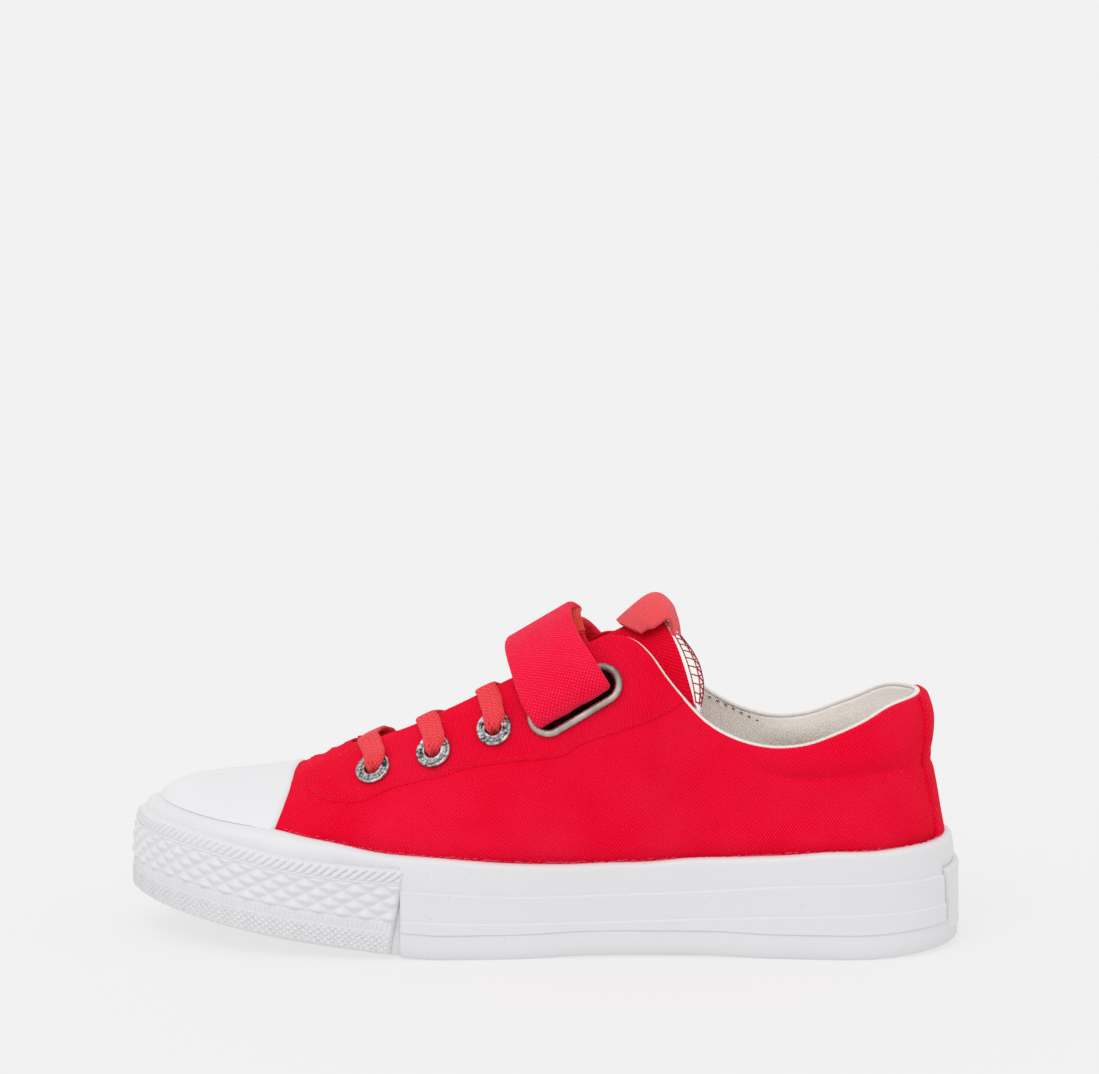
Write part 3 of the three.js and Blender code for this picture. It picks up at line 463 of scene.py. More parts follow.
def tube_faces(rings, closed=False):
    """Points, faces and UVs of a swept tube, with its two ends shut by folding."""
    count, around = rings.shape[:2]
    points = rings.reshape(-1, 3)
    faces = grid_faces(count, around, closed)
    seam = np.arange(count if closed else count - 1)
    n = (seam + 1) % count
    shut = np.stack([seam * around + around - 1, n * around + around - 1, n * around, seam * around], -1)
    run = lengths(np.concatenate([rings[:, 0], rings[:1, 0]]) if closed else rings[:, 0], 0)
    girth = lengths(np.concatenate([rings[0], rings[0][:1]]), 0)
    uv = np.stack(np.meshgrid(run, girth, indexing="ij"), -1)
    wide = around + 1
    cells = grid_faces(len(run), wide)
    uvs = uv.reshape(-1, 2)[cells].reshape(len(run) - 1, around, 4, 2)
    sides = uvs[:, :-1].reshape(-1, 4, 2)
    last = uvs[:, -1].reshape(-1, 4, 2)
    all_faces, all_uvs = [faces, shut], [sides, last]
    if not closed:
        half = around // 2
        k = np.arange(half - 1)
        for start, order in ((0, 1), ((count - 1) * around, -1)):
            cap = np.stack([k, k + 1, around - 2 - k, around - 1 - k], -1) + start
            cap = cap[:, ::-1] if order < 0 else cap
            all_faces.append(cap)
            all_uvs.append(np.stack([points[cap][..., 1], points[cap][..., 2]], -1))
    return points, np.concatenate(all_faces), np.concatenate(all_uvs)


def outward(part):
    """Turns a closed part's faces outwards if they face in."""
    points, faces, uvs = part
    a, b, c, d = (points[faces[:, k]] for k in range(4))
    volume = (np.cross(a, b) * c).sum() + (np.cross(a, c) * d).sum()
    return part if volume > 0 else (points, faces[:, ::-1], uvs[:, ::-1])


def stitch_parts(line, normals, pitch=2.4, length=1.75, radius=0.21, lift=0.12):
    """Short threads laid end to end along a line on a surface, each dipping into it at both ends."""
    run = lengths(line, 0)
    starts = np.arange(0.4, run[-1] - length, pitch)
    steps = np.linspace(0, 1, 6)
    circle = oval(1, 1, 6)
    parts = []
    for start in starts:
        at = start + steps * length
        place = sample(at, run, line)
        normal = unit(sample(at, run, normals))
        along = unit(np.gradient(place, axis=0))
        across = unit(np.cross(normal, along))
        bow = 1 - (2 * steps - 1) ** 4
        thin = radius * (0.45 + 0.55 * bow)
        centre = place + normal * (lift * bow - radius * 0.9 * (1 - bow))[:, None]
        spokes = circle[:, :1] * across[:, None] + circle[:, 1:] * normal[:, None]
        parts.append(outward(tube_faces(centre[:, None] + thin[:, None, None] * spokes)))
    return parts


# ---------------------------------------------------------------- materials
def linear(red, green, blue):
    """A colour given as it looks on a screen, from 0 to 255, turned into scene light."""
    screen = np.array([red, green, blue]) / 255
    light = np.where(screen <= 0.04045, screen / 12.92, ((screen + 0.055) / 1.055) ** 2.4)
    return (*light.tolist(), 1.0)


class Surface:
    """A Principled material and short ways to add nodes to it."""

    def __init__(self, name, roughness, sheen=0.0, sheen_tint=(1, 1, 1, 1), metallic=0.0, specular=0.5):
        self.material = bpy.data.materials.new(name)
        self.material.use_nodes = True
        self.tree = self.material.node_tree
        self.shader = self.tree.nodes["Principled BSDF"]
        self.shader.inputs["Roughness"].default_value = roughness
        self.shader.inputs["Sheen Weight"].default_value = sheen
        self.shader.inputs["Sheen Roughness"].default_value = 0.28
        self.shader.inputs["Sheen Tint"].default_value = sheen_tint
        self.shader.inputs["Metallic"].default_value = metallic
        self.shader.inputs["Specular IOR Level"].default_value = specular

    def add(self, kind, inputs=None, **settings):
        node = self.tree.nodes.new("ShaderNode" + kind)
        for key, value in settings.items():
            setattr(node, key, value)
        for key, value in (inputs or {}).items():
            self.put(node.inputs[key], value)
        return node

    def put(self, socket, value):
        if isinstance(value, bpy.types.NodeSocket):
            self.tree.links.new(value, socket)
        else:
            socket.default_value = value

    def math(self, operation, a, b=0.0):
        node = self.add("Math", operation=operation)
        self.put(node.inputs[0], a)
        self.put(node.inputs[1], b)
        return node.outputs[0]

    def noise(self, scale, detail=2.0, where=None):
        node = self.add("TexNoise", {"Scale": scale, "Detail": detail})
        if where is not None:
            self.put(node.inputs["Vector"], where)
        return node.outputs["Fac"]

    def cloth(self):
        """Both cloth coordinates, in millimetres."""
        node = self.add("UVMap", uv_map="cloth")
        split = self.add("SeparateXYZ", {0: node.outputs[0]})
        return split.outputs[0], split.outputs[1], node.outputs[0]

    def place(self):
        """Position in the object's own space, in metres."""
        return self.add("TexCoord").outputs["Object"]

    def blend(self, share, low, high):
        node = self.add("Mix", data_type="RGBA")
        self.put(node.inputs[0], share)
        self.put(node.inputs[6], low)
        self.put(node.inputs[7], high)
        return node.outputs[2]

    def range(self, value, low, high, to_low=0.0, to_high=1.0):
        inputs = {"Value": value, "From Min": low, "From Max": high, "To Min": to_low, "To Max": to_high}
        return self.add("MapRange", inputs).outputs[0]

    def finish(self, colour, height, strength, distance, roughness=None):
        """Links the colour, a bump from a height, and if given a varying roughness."""
        self.put(self.shader.inputs["Base Color"], colour)
        bump = self.add("Bump", {"Strength": strength, "Distance": distance, "Height": height})
        self.put(self.shader.inputs["Normal"], bump.outputs[0])
        if roughness is not None:
            self.put(self.shader.inputs["Roughness"], roughness)
        return self.material


def woven(name, dark, base, light, pitch=0.78, relief=0.00025, sheen=0.12, tint=(1, 0.4, 0.5, 1)):
    """Plain-woven cloth: threads over and under in a checker, uneven yarn and a little fading."""
    s = Surface(name, 0.9, sheen, tint, specular=0.06)
    u, v, uv = s.cloth()
    drift = s.math("MULTIPLY", s.noise(0.9, 2.0, uv), 0.55)
    turn = 2 * math.pi / pitch
    warp = s.math("SINE", s.math("MULTIPLY", s.math("ADD", u, drift), turn))
    weft = s.math("SINE", s.math("MULTIPLY", s.math("ADD", v, drift), turn * 0.7))
    weave = s.range(s.math("MULTIPLY", warp, weft), -1, 1)
    slub = s.range(s.noise(1.9, 3.0, uv), 0.3, 0.7)
    height = s.math("ADD", s.math("MULTIPLY", weave, 0.75), s.math("MULTIPLY", slub, 0.35))
    worn = s.range(s.noise(55.0, 3.0, s.place()), 0.35, 0.7)
    # painted highlight: the raised crowns of the yarn are blended towards the light colour; worn adds a
    # little real fading on top
    crown = s.math("MULTIPLY", s.range(weave, 0.55, 1.0), s.range(slub, 0, 1, 0.25, 1.0))
    lit = s.math("ADD", s.math("MULTIPLY", crown, 0.75), s.math("MULTIPLY", worn, 0.2))
    yarn = s.blend(lit, base, light)
    # painted shade: the gaps between the threads are blended towards the dark colour
    gap = s.math("SUBTRACT", 1.0, s.range(weave, 0.0, 0.4))
    colour = s.blend(s.math("MULTIPLY", gap, 0.55), yarn, dark)
    return s.finish(colour, height, 1.0, relief, s.range(slub, 0, 1, 0.84, 0.98))


def rubber(name, base, shade, roughness=0.42):
    """Moulded rubber: a faint mottle, sparse dust specks and a soft orange-peel surface."""
    s = Surface(name, roughness, specular=0.45)
    where = s.place()
    mottle = s.range(s.noise(38.0, 3.0, where), 0.35, 0.7)
    colour = s.blend(s.math("MULTIPLY", mottle, 0.5), base, shade)
    dust = s.range(s.noise(900.0, 1.0, where), 0.74, 0.8)
    colour = s.blend(s.math("MULTIPLY", dust, 0.4), colour, linear(190, 188, 184))
    peel = s.math("ADD", s.noise(700.0, 2.0, where), s.math("MULTIPLY", s.noise(120.0, 2.0, where), 0.8))
    return s.finish(colour, peel, 0.35, 0.00005, s.range(mottle, 0, 1, roughness - 0.07, roughness + 0.1))


def ribbed(name, dark, base, light, across, along, relief=0.00022, mesh=False):
    """Knitted elastic or webbing: cords along the band, crossed by fine picks. u runs along the band."""
    s = Surface(name, 0.8, 0.2, (1, 0.6, 0.6, 1), specular=0.25)
    u, v, uv = s.cloth()
    drift = s.math("MULTIPLY", s.noise(1.4, 2.0, uv), 0.35)
    cord = s.math("SINE", s.math("MULTIPLY", s.math("ADD", v, drift), 2 * math.pi / across))
    pick = s.math("SINE", s.math("MULTIPLY", s.math("ADD", u, drift), 2 * math.pi / along))
    crossed = s.math("MULTIPLY", cord, pick)
    whole = s.math("ADD", crossed, s.math("MULTIPLY", cord, 0.15 if mesh else 1.1))
    height = s.range(whole, -1.15 if mesh else -2.0, 1.15 if mesh else 2.0)
    slub = s.range(s.noise(2.4, 2.0, uv), 0.3, 0.7)
    colour = s.blend(s.math("MULTIPLY", slub, 0.6), base, light)
    # painted shade: the hollows between cords and picks are blended towards the dark colour
    gap = s.math("SUBTRACT", 1.0, s.range(height, 0.1, 0.6))
    return s.finish(s.blend(s.math("MULTIPLY", gap, 0.75), colour, dark), height, 1.0, relief)


def metal(name, base, dark, roughness=0.34, patch=260.0):
    """Cast metal with a dull film: brushed lines, dark film in patches and small pits."""
    s = Surface(name, roughness, metallic=1.0)
    where = s.place()
    film = s.range(s.noise(patch, 4.0, where), 0.38, 0.66)
    pits = s.noise(1500.0, 2.0, where)
    u, v, uv = s.cloth()
    brushed = s.noise(9.0, 1.0, s.add("CombineXYZ", {0: u, 1: s.math("MULTIPLY", v, 7.0)}).outputs[0])
    height = s.math("ADD", s.math("MULTIPLY", pits, 0.6), brushed)
    rough = s.range(film, 0, 1, roughness, roughness + 0.22)
    return s.finish(s.blend(film, base, dark), height, 0.6, 0.00006, rough)


def thread(name, base, shade):
    """Sewing thread: two plies that wind round each other."""
    s = Surface(name, 0.75, 0.15, specular=0.3)
    u, v, uv = s.cloth()
    ply = s.math("SINE", s.math("MULTIPLY", s.math("ADD", u, s.math("MULTIPLY", v, 0.9)), 7.5))
    fleck = s.noise(2.6, 2.0, uv)
    colour = s.blend(s.math("MULTIPLY", s.range(ply, -1, 1), s.range(fleck, 0.2, 0.8)), shade, base)
    return s.finish(colour, ply, 0.8, 0.00008)


WHITE = (1, 1, 1, 1)
CANVAS = woven("canvas", linear(184, 0, 22), linear(240, 0, 42), linear(255, 44, 84), sheen=0.04)
FACING = woven("facing_canvas", linear(182, 0, 22), linear(238, 0, 41), linear(255, 44, 84), sheen=0.04)
STRAP_CLOTH = woven("strap_canvas", linear(204, 0, 36), linear(246, 6, 56), linear(255, 76, 110), sheen=0.3)
TONGUE_CLOTH = woven(
    "tongue_canvas", linear(184, 0, 20), linear(236, 0, 38), linear(250, 40, 76), sheen=0.05
)
LINING = woven(
    "lining_cloth", linear(232, 222, 212), linear(252, 246, 239), linear(254, 251, 247),
    pitch=0.6, relief=0.00012, sheen=0.05, tint=WHITE,
)
PIPING = woven(
    "edge_tape", linear(190, 184, 176), linear(236, 232, 226), linear(246, 244, 240),
    pitch=0.5, relief=0.0001, sheen=0.1, tint=WHITE,
)
RUBBER = rubber("rubber", linear(222, 221, 223), linear(217, 216, 219))
CAP_RUBBER = rubber("cap_rubber", linear(226, 226, 228), linear(222, 222, 225), roughness=0.36)
SOLE_RUBBER = rubber("sole_rubber", linear(221, 220, 222), linear(216, 215, 218), roughness=0.5)
LACE = ribbed(
    "lace_elastic", linear(196, 14, 34), linear(240, 56, 66), linear(252, 100, 104), 1.1, 1.15, mesh=True
)
WEBBING = ribbed(
    "loop_webbing", linear(222, 50, 60), linear(248, 78, 86), linear(255, 116, 118), 0.75, 0.8, mesh=True
)
HOOKS = ribbed(
    "hook_and_loop", linear(150, 12, 10), linear(224, 44, 28), linear(246, 84, 60), 0.8, 0.8, relief=0.0004
)
# painted shadow: near-black material for the pieces that darken the inside of the strap's slot
PAINTED_SLOT_SHADOW = metal("painted_slot_shadow", linear(44, 10, 16), linear(22, 4, 8), roughness=0.7)
RING_METAL = metal("ring_metal", linear(202, 196, 188), linear(140, 131, 124), roughness=0.3, patch=110.0)
EYELET_METAL = metal("eyelet_metal", linear(214, 212, 212), linear(64, 60, 62), patch=800.0)
RED_THREAD = thread("red_thread", linear(246, 16, 60), linear(214, 0, 40))
SEAM_THREAD = thread("seam_thread", linear(176, 128, 118), linear(128, 84, 76))
EDGE_THREAD = thread("overlock_thread", linear(190, 40, 66), linear(134, 18, 40))
FRAYED_THREAD = thread("frayed_edge", linear(248, 128, 148), linear(238, 60, 94))


# ---------------------------------------------------------------- walks round the shoe
FINE_STATIONS = np.unique(np.concatenate([
    TOE_END + TOE_REACH * (1 - np.cos(np.linspace(0, np.pi / 2, 500))),
    np.linspace(TOE_END + TOE_REACH, HEEL_END - HEEL_REACH, 500),
    HEEL_END - HEEL_REACH * (1 - np.cos(np.linspace(0, np.pi / 2, 400))),
]))


def even_stations(start, stop, spacing, extra=()):
    """Stations spaced evenly along the outline, with a few exact ones added."""
    fine = FINE_STATIONS[(FINE_STATIONS > start) & (FINE_STATIONS < stop)]
    fine = np.concatenate([[start], fine, [stop]])
    run = lengths(wall(fine, MEDIAL, 20.0, 1.5), 0)
    even = np.interp(np.linspace(0, run[-1], int(run[-1] / spacing) + 1), run, fine)
    extra = np.asarray(extra, dtype=float)
    if len(extra):
        even = even[np.abs(even[:, None] - extra).min(1) > 0.12]
    return np.sort(np.concatenate([even, extra]))


def round_heel(stations):
    """From the front of the medial side, round the heel, to the front of the lateral side."""
    count = len(stations)
    side = np.concatenate([np.full(count, MEDIAL), np.full(count - 1, LATERAL)])
    return np.concatenate([stations, stations[::-1][1:]])[:, None], side[:, None]


def round_toe(stations):
    """From the rear of the lateral side, round the toe, to the rear of the medial side."""
    count = len(stations)
    side = np.concatenate([np.full(count, LATERAL), np.full(count - 1, MEDIAL)])
    return np.concatenate([stations[::-1], stations[1:]])[:, None], side[:, None]


def waves(points, length, seed, stretch=(1, 1, 1)):
    """Soft seeded unevenness of about that wavelength, between about -1 and 1."""
    chance = np.random.default_rng(seed)
    total = 0.0
    for _ in range(9):
        way = unit(chance.normal(size=3)) * np.asarray(stretch)
        turn = 2 * np.pi / length / chance.uniform(0.7, 1.4)
        total = total + np.sin(points @ way * turn + chance.uniform(0, 6.28))
    return total / 4.5


def outsole_top(station):
    return ground(station) + OUTSOLE_THICKNESS


def feather(station):
    return outsole_top(station) + GAP


# ---------------------------------------------------------------- upper
VAMP_SEAM = table(
    "height station", (20, 60.0), (27.4, 60.3), (31.3, 60.8), (34.7, 61.3), (37.4, 61.6), (44, 62.0)
)
COLLAR_SEAM = table(
    "station height",
    (150, 49.0), (158, 47.4), (165.5, 45.9), (171.2, 45.0), (184.4, 45.2), (198.6, 46.3), (208.4, 45.8),
)
EYELET_PLACES = ((65.0, 44.6), (80.3, 49.5), (95.5, 55.6))
EYELET_HOLE = 2.6
SLOT_STATION, SLOT_HEIGHT, SLOT_TILT = 114.8, 63.0, math.radians(31)
RING_PLACE = (115.6, MEDIAL, 63.2, math.radians(32.5))
SLOT_HALF_LENGTH, SLOT_RADIUS = 7.7, 3.2


def upper_point(station, side, angle, depth):
    """A point of the upper's wall: depth 0 is the canvas face and WALL the lining's face."""
    level = arch(station, side, angle)[..., 2]
    pad = collar_pad(station, level)
    share = depth / WALL
    offset = mix(COLLAR_BULGE * pad, -WALL - COLLAR_PADDING * pad, share)
    moved = arch(station, side, angle, offset)
    hold = np.where(station > THROAT_START, smooth(57, 77, station) * (1 - np.sin(angle)), 0.0)
    moved[..., 2] = mix(moved[..., 2], level, hold)
    return moved


def spread_rows(low, top, share, station, over, start=np.pi / 2):
    """Angles up a column. Where the throat opens only the upper rows bend to its edge, so no row jumps."""
    whole = mix(start, top, smooth(THROAT_START, THROAT_START + over, station))
    return low + share * (whole - low) + (top - whole) * smooth(0.5, 1, share)


def upper_rows(station, side, rows, rounded, lower=0.0):
    """Angles up each column and how far each row is below the edge."""
    top = edge_angle(station, side)
    behind = smooth(THROAT_START, THROAT_START + 1.2, station) * (1 - smooth(124, 130, station))
    tall = section("ridge", station) - section("shoulder", station)
    top = top - lower * behind / (0.8 * tall)
    reach = 0.5 * np.pi * tall * top / (np.pi / 2) * 0.92
    edge = np.array([1.0, 0.72, 0.46, 0.24, 0.08, 0.0]) * rounded
    even = np.linspace(0, 1, rows)[None, :-1] * (1 - 1.35 * rounded / reach)
    share = np.concatenate([even, 1 - edge[None] / reach], axis=1)
    return spread_rows(0.0, top, share, station, 40), (1 - share) * reach


def canvas_relief(points, station):
    """Soft unevenness of the canvas: puckers, seams and where it is pulled in."""
    height = points[..., 2]
    out = 0.16 * waves(points, 30, 5) + 0.05 * waves(points, 8, 6)
    vamp = smooth(40, 44, station) * (1 - smooth(57, 64, station))
    pucker = waves(points, 4.4, 7, (1.5, 0.6, 0.8)) + 0.6 * waves(points, 2.4, 8)
    out = out + (0.3 * pucker + 0.08 * waves(points, 1.5, 13)) * vamp
    seam = look_up(VAMP_SEAM, "station", height)
    under = smooth(20, 24, height) * (1 - smooth(34, 37, height))
    out = out + 0.25 * smooth(0, 0.7, station - seam) * under
    near = np.exp(-((station - seam + 0.8) / 1.1) ** 2) * under
    out = out - 0.16 * near + 0.16 * near * waves(points, 1.8, 9)
    collar = look_up(COLLAR_SEAM, "height", station)
    reach = np.where(height > collar, 1.7, 0.65)
    groove = np.exp(-np.abs((height - collar) / reach) ** 1.6) * smooth(154, 168, station)
    swell = np.exp(-((height - collar - 4) / 3.0) ** 2) + 0.5 * np.exp(-((height - collar + 3) / 2.5) ** 2)
    out = out + 0.4 * swell * smooth(154, 168, station) * (1 - smooth(200, 206, station))
    out = out - 0.78 * groove * (1 - 0.4 * smooth(198, 207, station)) * (1 + 0.1 * waves(points, 5, 10))
    band = band_top(station)
    out = out - 0.7 * (1 - smooth(-0.5, 4.0, height - band)) * smooth(41, 50, station)
    fold = np.exp(-((station - 66 - 0.35 * (height - 30)) / 3.0) ** 2) * (1 - smooth(34, 42, height))
    return np.maximum(out - 0.25 * fold, -0.76)


def upper_grid(station, side, rows, outer_depth, inner_depth, rounded=0.9, mirrored=False):
    """Outer and inner grids of one layer of the upper, with its free edge rounded off.
    A mirrored layer is rounded on its inner side and its edge is a little lower."""
    angle, below = upper_rows(station, side, rows, rounded, 1.3 * mirrored)
    open_edge = smooth(THROAT_START, THROAT_START + 1.2, station)
    bend = rounded - np.sqrt(np.maximum(rounded**2 - (rounded - np.minimum(below, rounded)) ** 2, 0))
    bend = bend * open_edge * (abs(outer_depth - inner_depth) / rounded)
    outer = upper_point(station, side, angle, outer_depth + bend * (not mirrored))
    inner = upper_point(station, side, angle, inner_depth - bend * mirrored)
    foot = wall(station, side, feather(station), -np.array([outer_depth]))
    sole = wall(station, side, feather(station), -np.array([inner_depth]))
    return np.concatenate([foot, outer], 1), np.concatenate([sole, inner], 1)


THROAT_STATIONS = (57, 57.2, 57.5, 57.9, 58.7)
UPPER_STATIONS = np.unique(np.concatenate([
    even_stations(TOE_END + 0.3, 40.5, 2.2),
    even_stations(41, 57, 0.6, extra=THROAT_STATIONS),
    even_stations(59.3, HEEL_END, 1.05),
]))


def close_ridge(station, *grids):
    """Puts the top row over the vamp on the middle plane. Returns where the throat is open."""
    for grid in grids:
        grid[station[:, 0] <= THROAT_START, -1, 1] = 0.0
    return station[:, 0] >= THROAT_START


def add_upper():
    station, side = round_heel(UPPER_STATIONS)
    outer, inner = upper_grid(station, side, 56, 0.0, 0.9)
    normals = grid_normals(outer)
    relief = canvas_relief(outer[:, 1:], station)
    fade = np.ones(relief.shape[1])
    fade[-3:] = (0.6, 0.3, 0.0)
    on_ridge = (station > THROAT_START) | np.zeros_like(relief, dtype=bool)
    relief = relief * np.where(on_ridge, fade, 1.0)
    outer[:, 1:] += normals[:, 1:] * relief[..., None]
    rim = close_ridge(station, outer, inner)
    canvas = shell("upper_canvas", outer, inner, CANVAS, "canvas", merge=0.02, high_rim=rim)
    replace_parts(canvas, "upper")
    thin = np.unique(np.concatenate([UPPER_STATIONS[::2], UPPER_STATIONS[-1:], THROAT_STATIONS]))
    station, side = round_heel(thin)
    outer, inner = upper_grid(station, side, 30, 0.9, WALL, mirrored=True)
    soft = 0.16 * waves(inner, 17, 21) + 0.05 * waves(inner, 6, 22)
    inner += grid_normals(inner) * (soft * np.linspace(0, 1, inner.shape[1]) ** 0.3)[..., None]
    rim = close_ridge(station, outer, inner)
    lining = shell("upper_lining", outer, inner, LINING, "lining", merge=0.02, high_rim=rim)
    return canvas, lining


def add_piping():
    """Thin tape that shows as a pale line along the collar's edge."""
    station = even_stations(128, HEEL_END, 0.8)
    edges = [upper_point(station, side, edge_angle(station, side), 1.25) for side in SIDES.values()]
    line = np.concatenate([edges[0], edges[1][::-1][1:]])
    part = outward(tube_faces(sweep(line + UP * 0.05, UP, oval(0.72, 0.55, 10)[:, ::-1])))
    build("collar_tape", *part, PIPING, "lining")


# ---------------------------------------------------------------- facings
FACING_LOW = table(
    "station height",
    (46.8, 39.9), (48.9, 38.8), (51.8, 37.7), (55.7, 37.2), (62.1, 37.5), (64.6, 38.4), (69.5, 40.6),
    (74.5, 42.1), (82.1, 44.0), (88.8, 46.2), (99.6, 48.0), (112, 49.6), (117.4, 52.6), (131.7, 57.6),
    (138, 60.3), (142.4, 63.2),
)
FACING_FRONT = table(
    "station height", (46.8, 39.9), (47.8, 41.9), (50.1, 43.7), (53.7, 45.5), (56.7, 46.3), (57.4, 47.0)
)
FACING_LIFT = 0.5


def facing_angles(station, side):
    low = angle_at(station, look_up(FACING_LOW, "height", station))
    front = angle_at(station, look_up(FACING_FRONT, "height", station))
    edge = edge_angle(station, side)
    return low, mix(front, np.maximum(edge, low + 0.01), smooth(57.0, 58.2, station))


def add_facing(name, side):
    """The second layer of canvas along one side of the throat, with rounded edges."""
    extra = (46.95, 47.15, 47.5, 57.2, 57.6, 58.0)
    station = even_stations(46.85, 142.4, 0.9, extra=extra)[:, None]
    low, high = facing_angles(station, side)
    reach = (section("ridge", station) - section("shoulder", station)) * (high - low) * 0.9 + 0.05
    edge = np.minimum(np.array([[0.0, 0.12, 0.3, 0.6]]) / reach, 0.2)
    middle = 0.02 + np.linspace(1.0, 0.0, 28)[None, 1:-1][:, ::-1] * 0.96 * np.ones_like(reach)
    share = np.concatenate([edge, middle, 1 - edge[:, ::-1]], 1)
    share = np.sort(share, axis=1)
    front = angle_at(station, look_up(FACING_FRONT, "height", station))
    angle = spread_rows(low, high, share, station, 24, front)
    swell = rounding(np.minimum(share, 1 - share) * reach, 0.55)
    skin = upper_point(station, side, angle, 0.0)
    normals = grid_normals(skin) * -side
    top_edge = np.clip(1 - (1 - share) * reach / 0.9, 0, 1) * smooth(57, 58.2, station)
    lift = FACING_LIFT * swell * (1 - 0.75 * top_edge)
    uneven = 0.16 * waves(skin, 30, 5) + 0.05 * waves(skin, 8, 6)
    stitch_dip = -0.2 * np.exp(-((share * reach - 1.1) / 0.5) ** 2)
    uneven = uneven + 0.12 * waves(skin, 2.6, 12) * np.exp(-((share * reach - 1.0) / 2.0) ** 2)
    outer = skin + normals * (lift + uneven + stitch_dip)[..., None]
    inner = skin + normals * (uneven - 0.25 - 0.3 * top_edge)[..., None]
    if side == LATERAL:
        outer, inner = outer[::-1], inner[::-1]
    uv = cloth_uv(outer)
    turn = math.radians(24) * -side
    spun = np.stack([uv[..., 0] * math.cos(turn) - uv[..., 1] * math.sin(turn),
                     uv[..., 0] * math.sin(turn) + uv[..., 1] * math.cos(turn)], -1)
    return shell(name, outer, inner, FACING, "canvas", uv=spun, merge=0.01)


def facing_stitches(side):
    """A row of stitches along the facing's lower edge."""
    station = even_stations(48.6, 141.0, 0.5)
    low, _ = facing_angles(station, side)
    angle = low + 1.1 / ((section("ridge", station) - section("shoulder", station)) * 0.9)
    skin = upper_point(station, side, angle, 0.0)
    up = upper_point(station, side, angle + 0.02, 0.0) - upper_point(station, side, angle - 0.02, 0.0)
    normal = unit(np.cross(np.gradient(skin, axis=0), up)) * -side
    return stitch_parts(skin + normal * (FACING_LIFT - 0.3), normal, radius=0.18)


# ---------------------------------------------------------------- holes
def wall_frame(station, side, height, tilt=0.0):
    """Axes on the wall: x along the shoe and up the instep by the tilt, z out of the surface."""
    step = 2.0
    origin = wall(station, side, height)
    along = unit(wall(station + step, side, height) - wall(station - step, side, height))
    up = unit(wall(station, side, height + step) - wall(station, side, height - step))
    out = unit(np.cross(along, up)) * -side
    x = along * math.cos(tilt) + up * math.sin(tilt)
    y = unit(np.cross(out, x))
    x = np.cross(y, out)
    return origin, x, y, out


def eyelet_frame(station, side, height):
    return wall_frame(station, side, float(level_on(side, station, height)))


def slot_outline(radius, count=16):
    turn = np.linspace(-np.pi / 2, np.pi / 2, count)
    right = np.stack([SLOT_HALF_LENGTH + radius * np.cos(turn), radius * np.sin(turn)], -1)
    left = np.stack([-SLOT_HALF_LENGTH - radius * np.cos(turn), -radius * np.sin(turn)], -1)
    return np.concatenate([right, left])


def in_frame(axes, local):
    origin, x, y, out = axes
    return origin + local[..., :1] * x + local[..., 1:2] * y + local[..., 2:3] * out


def cutter(name, outlines):
    """One hidden mesh with a prism for each outline, given with its frame."""
    mesh = bpy.data.meshes.new(name)
    verts, faces = [], []
    for axes, outline in outlines:
        start, count = len(verts), len(outline)
        for depth in (-5.0, 5.0):
            verts += metres(in_frame(axes, at_height(outline, depth))).tolist()
        k = np.arange(count)
        n = (k + 1) % count
        faces += (np.stack([k, n, n + count, k + count], -1) + start).tolist()
        faces.append([start + i for i in range(count)][::-1])
        faces.append([start + count + i for i in range(count)])
    mesh.from_pydata(verts, [], faces)
    mesh.update()
    return new_object(name, mesh)


def cut_holes(pieces):
    """Opens the eyelet holes and the strap's slot in every layer of the upper."""
    outlines = [(wall_frame(*RING_PLACE), slot_outline(SLOT_RADIUS + 0.5))]
    for side in SIDES.values():
        hole = oval(EYELET_HOLE, EYELET_HOLE, 28)
        outlines += [(eyelet_frame(s, side, h), hole) for s, h in EYELET_PLACES]
    tool = cutter("hole_cutter", outlines)
    for piece in pieces:
        modifier = piece.modifiers.new("holes", "BOOLEAN")
        modifier.operation = "DIFFERENCE"
        modifier.object = tool
        modifier.solver = "EXACT"
        bpy.context.view_layer.update()
        graph = bpy.context.evaluated_depsgraph_get()
        cut = bpy.data.meshes.new_from_object(piece.evaluated_get(graph))
        piece.modifiers.clear()
        piece.data = cut
    bpy.data.objects.remove(tool)


# ---------------------------------------------------------------- rubber sole
LINE_1 = table(
    "station height",
    (3.4, 26.0), (60, 18.6), (74, 17.4), (88, 16.5), (107.5, 15.8), (127.2, 16.2), (146.9, 17.0),
    (166.7, 18.4), (185.9, 19.1), (208.4, 19.2),
)
LINE_2 = table(
    "station height",
    (3.4, 16.0), (60, 11.0), (73.2, 10.0), (93.4, 9.3), (110.7, 9.2), (127.2, 9.4), (146.9, 10.1),
    (166.7, 10.8), (188.3, 11.6), (208.4, 12.0),
)
BUMPER_TOPS = table(
    "station height", (3.4, 31.4), (15.5, 30.6), (27, 28.9), (42, 26.0), (56, 24.0), (74, 22.6)
)
CAP_TURN = 1.2
BUMPER_END = 73.0
OUTSOLE_OUT, OUTSOLE_TUCK = 3.2, 1.65  # the outsole is drawn in where the bumper covers it
BUMPER_SEAT, BUMPER_OUT = 1.9, 3.4
PATCH_START, PATCH_BOTTOM, PATCH_TOP, PATCH_SEAT, PATCH_OUT = 205.5, 4.5, 20.5, 2.0, 3.6


def stepped(value, height, edge, drop=0.42):
    """A ledge: value above its edge grows to the full step over a short rounded drop below it."""
    under = np.clip((edge - height) / drop, 0, 1)
    return value * np.sqrt(1 - (1 - under) ** 2)


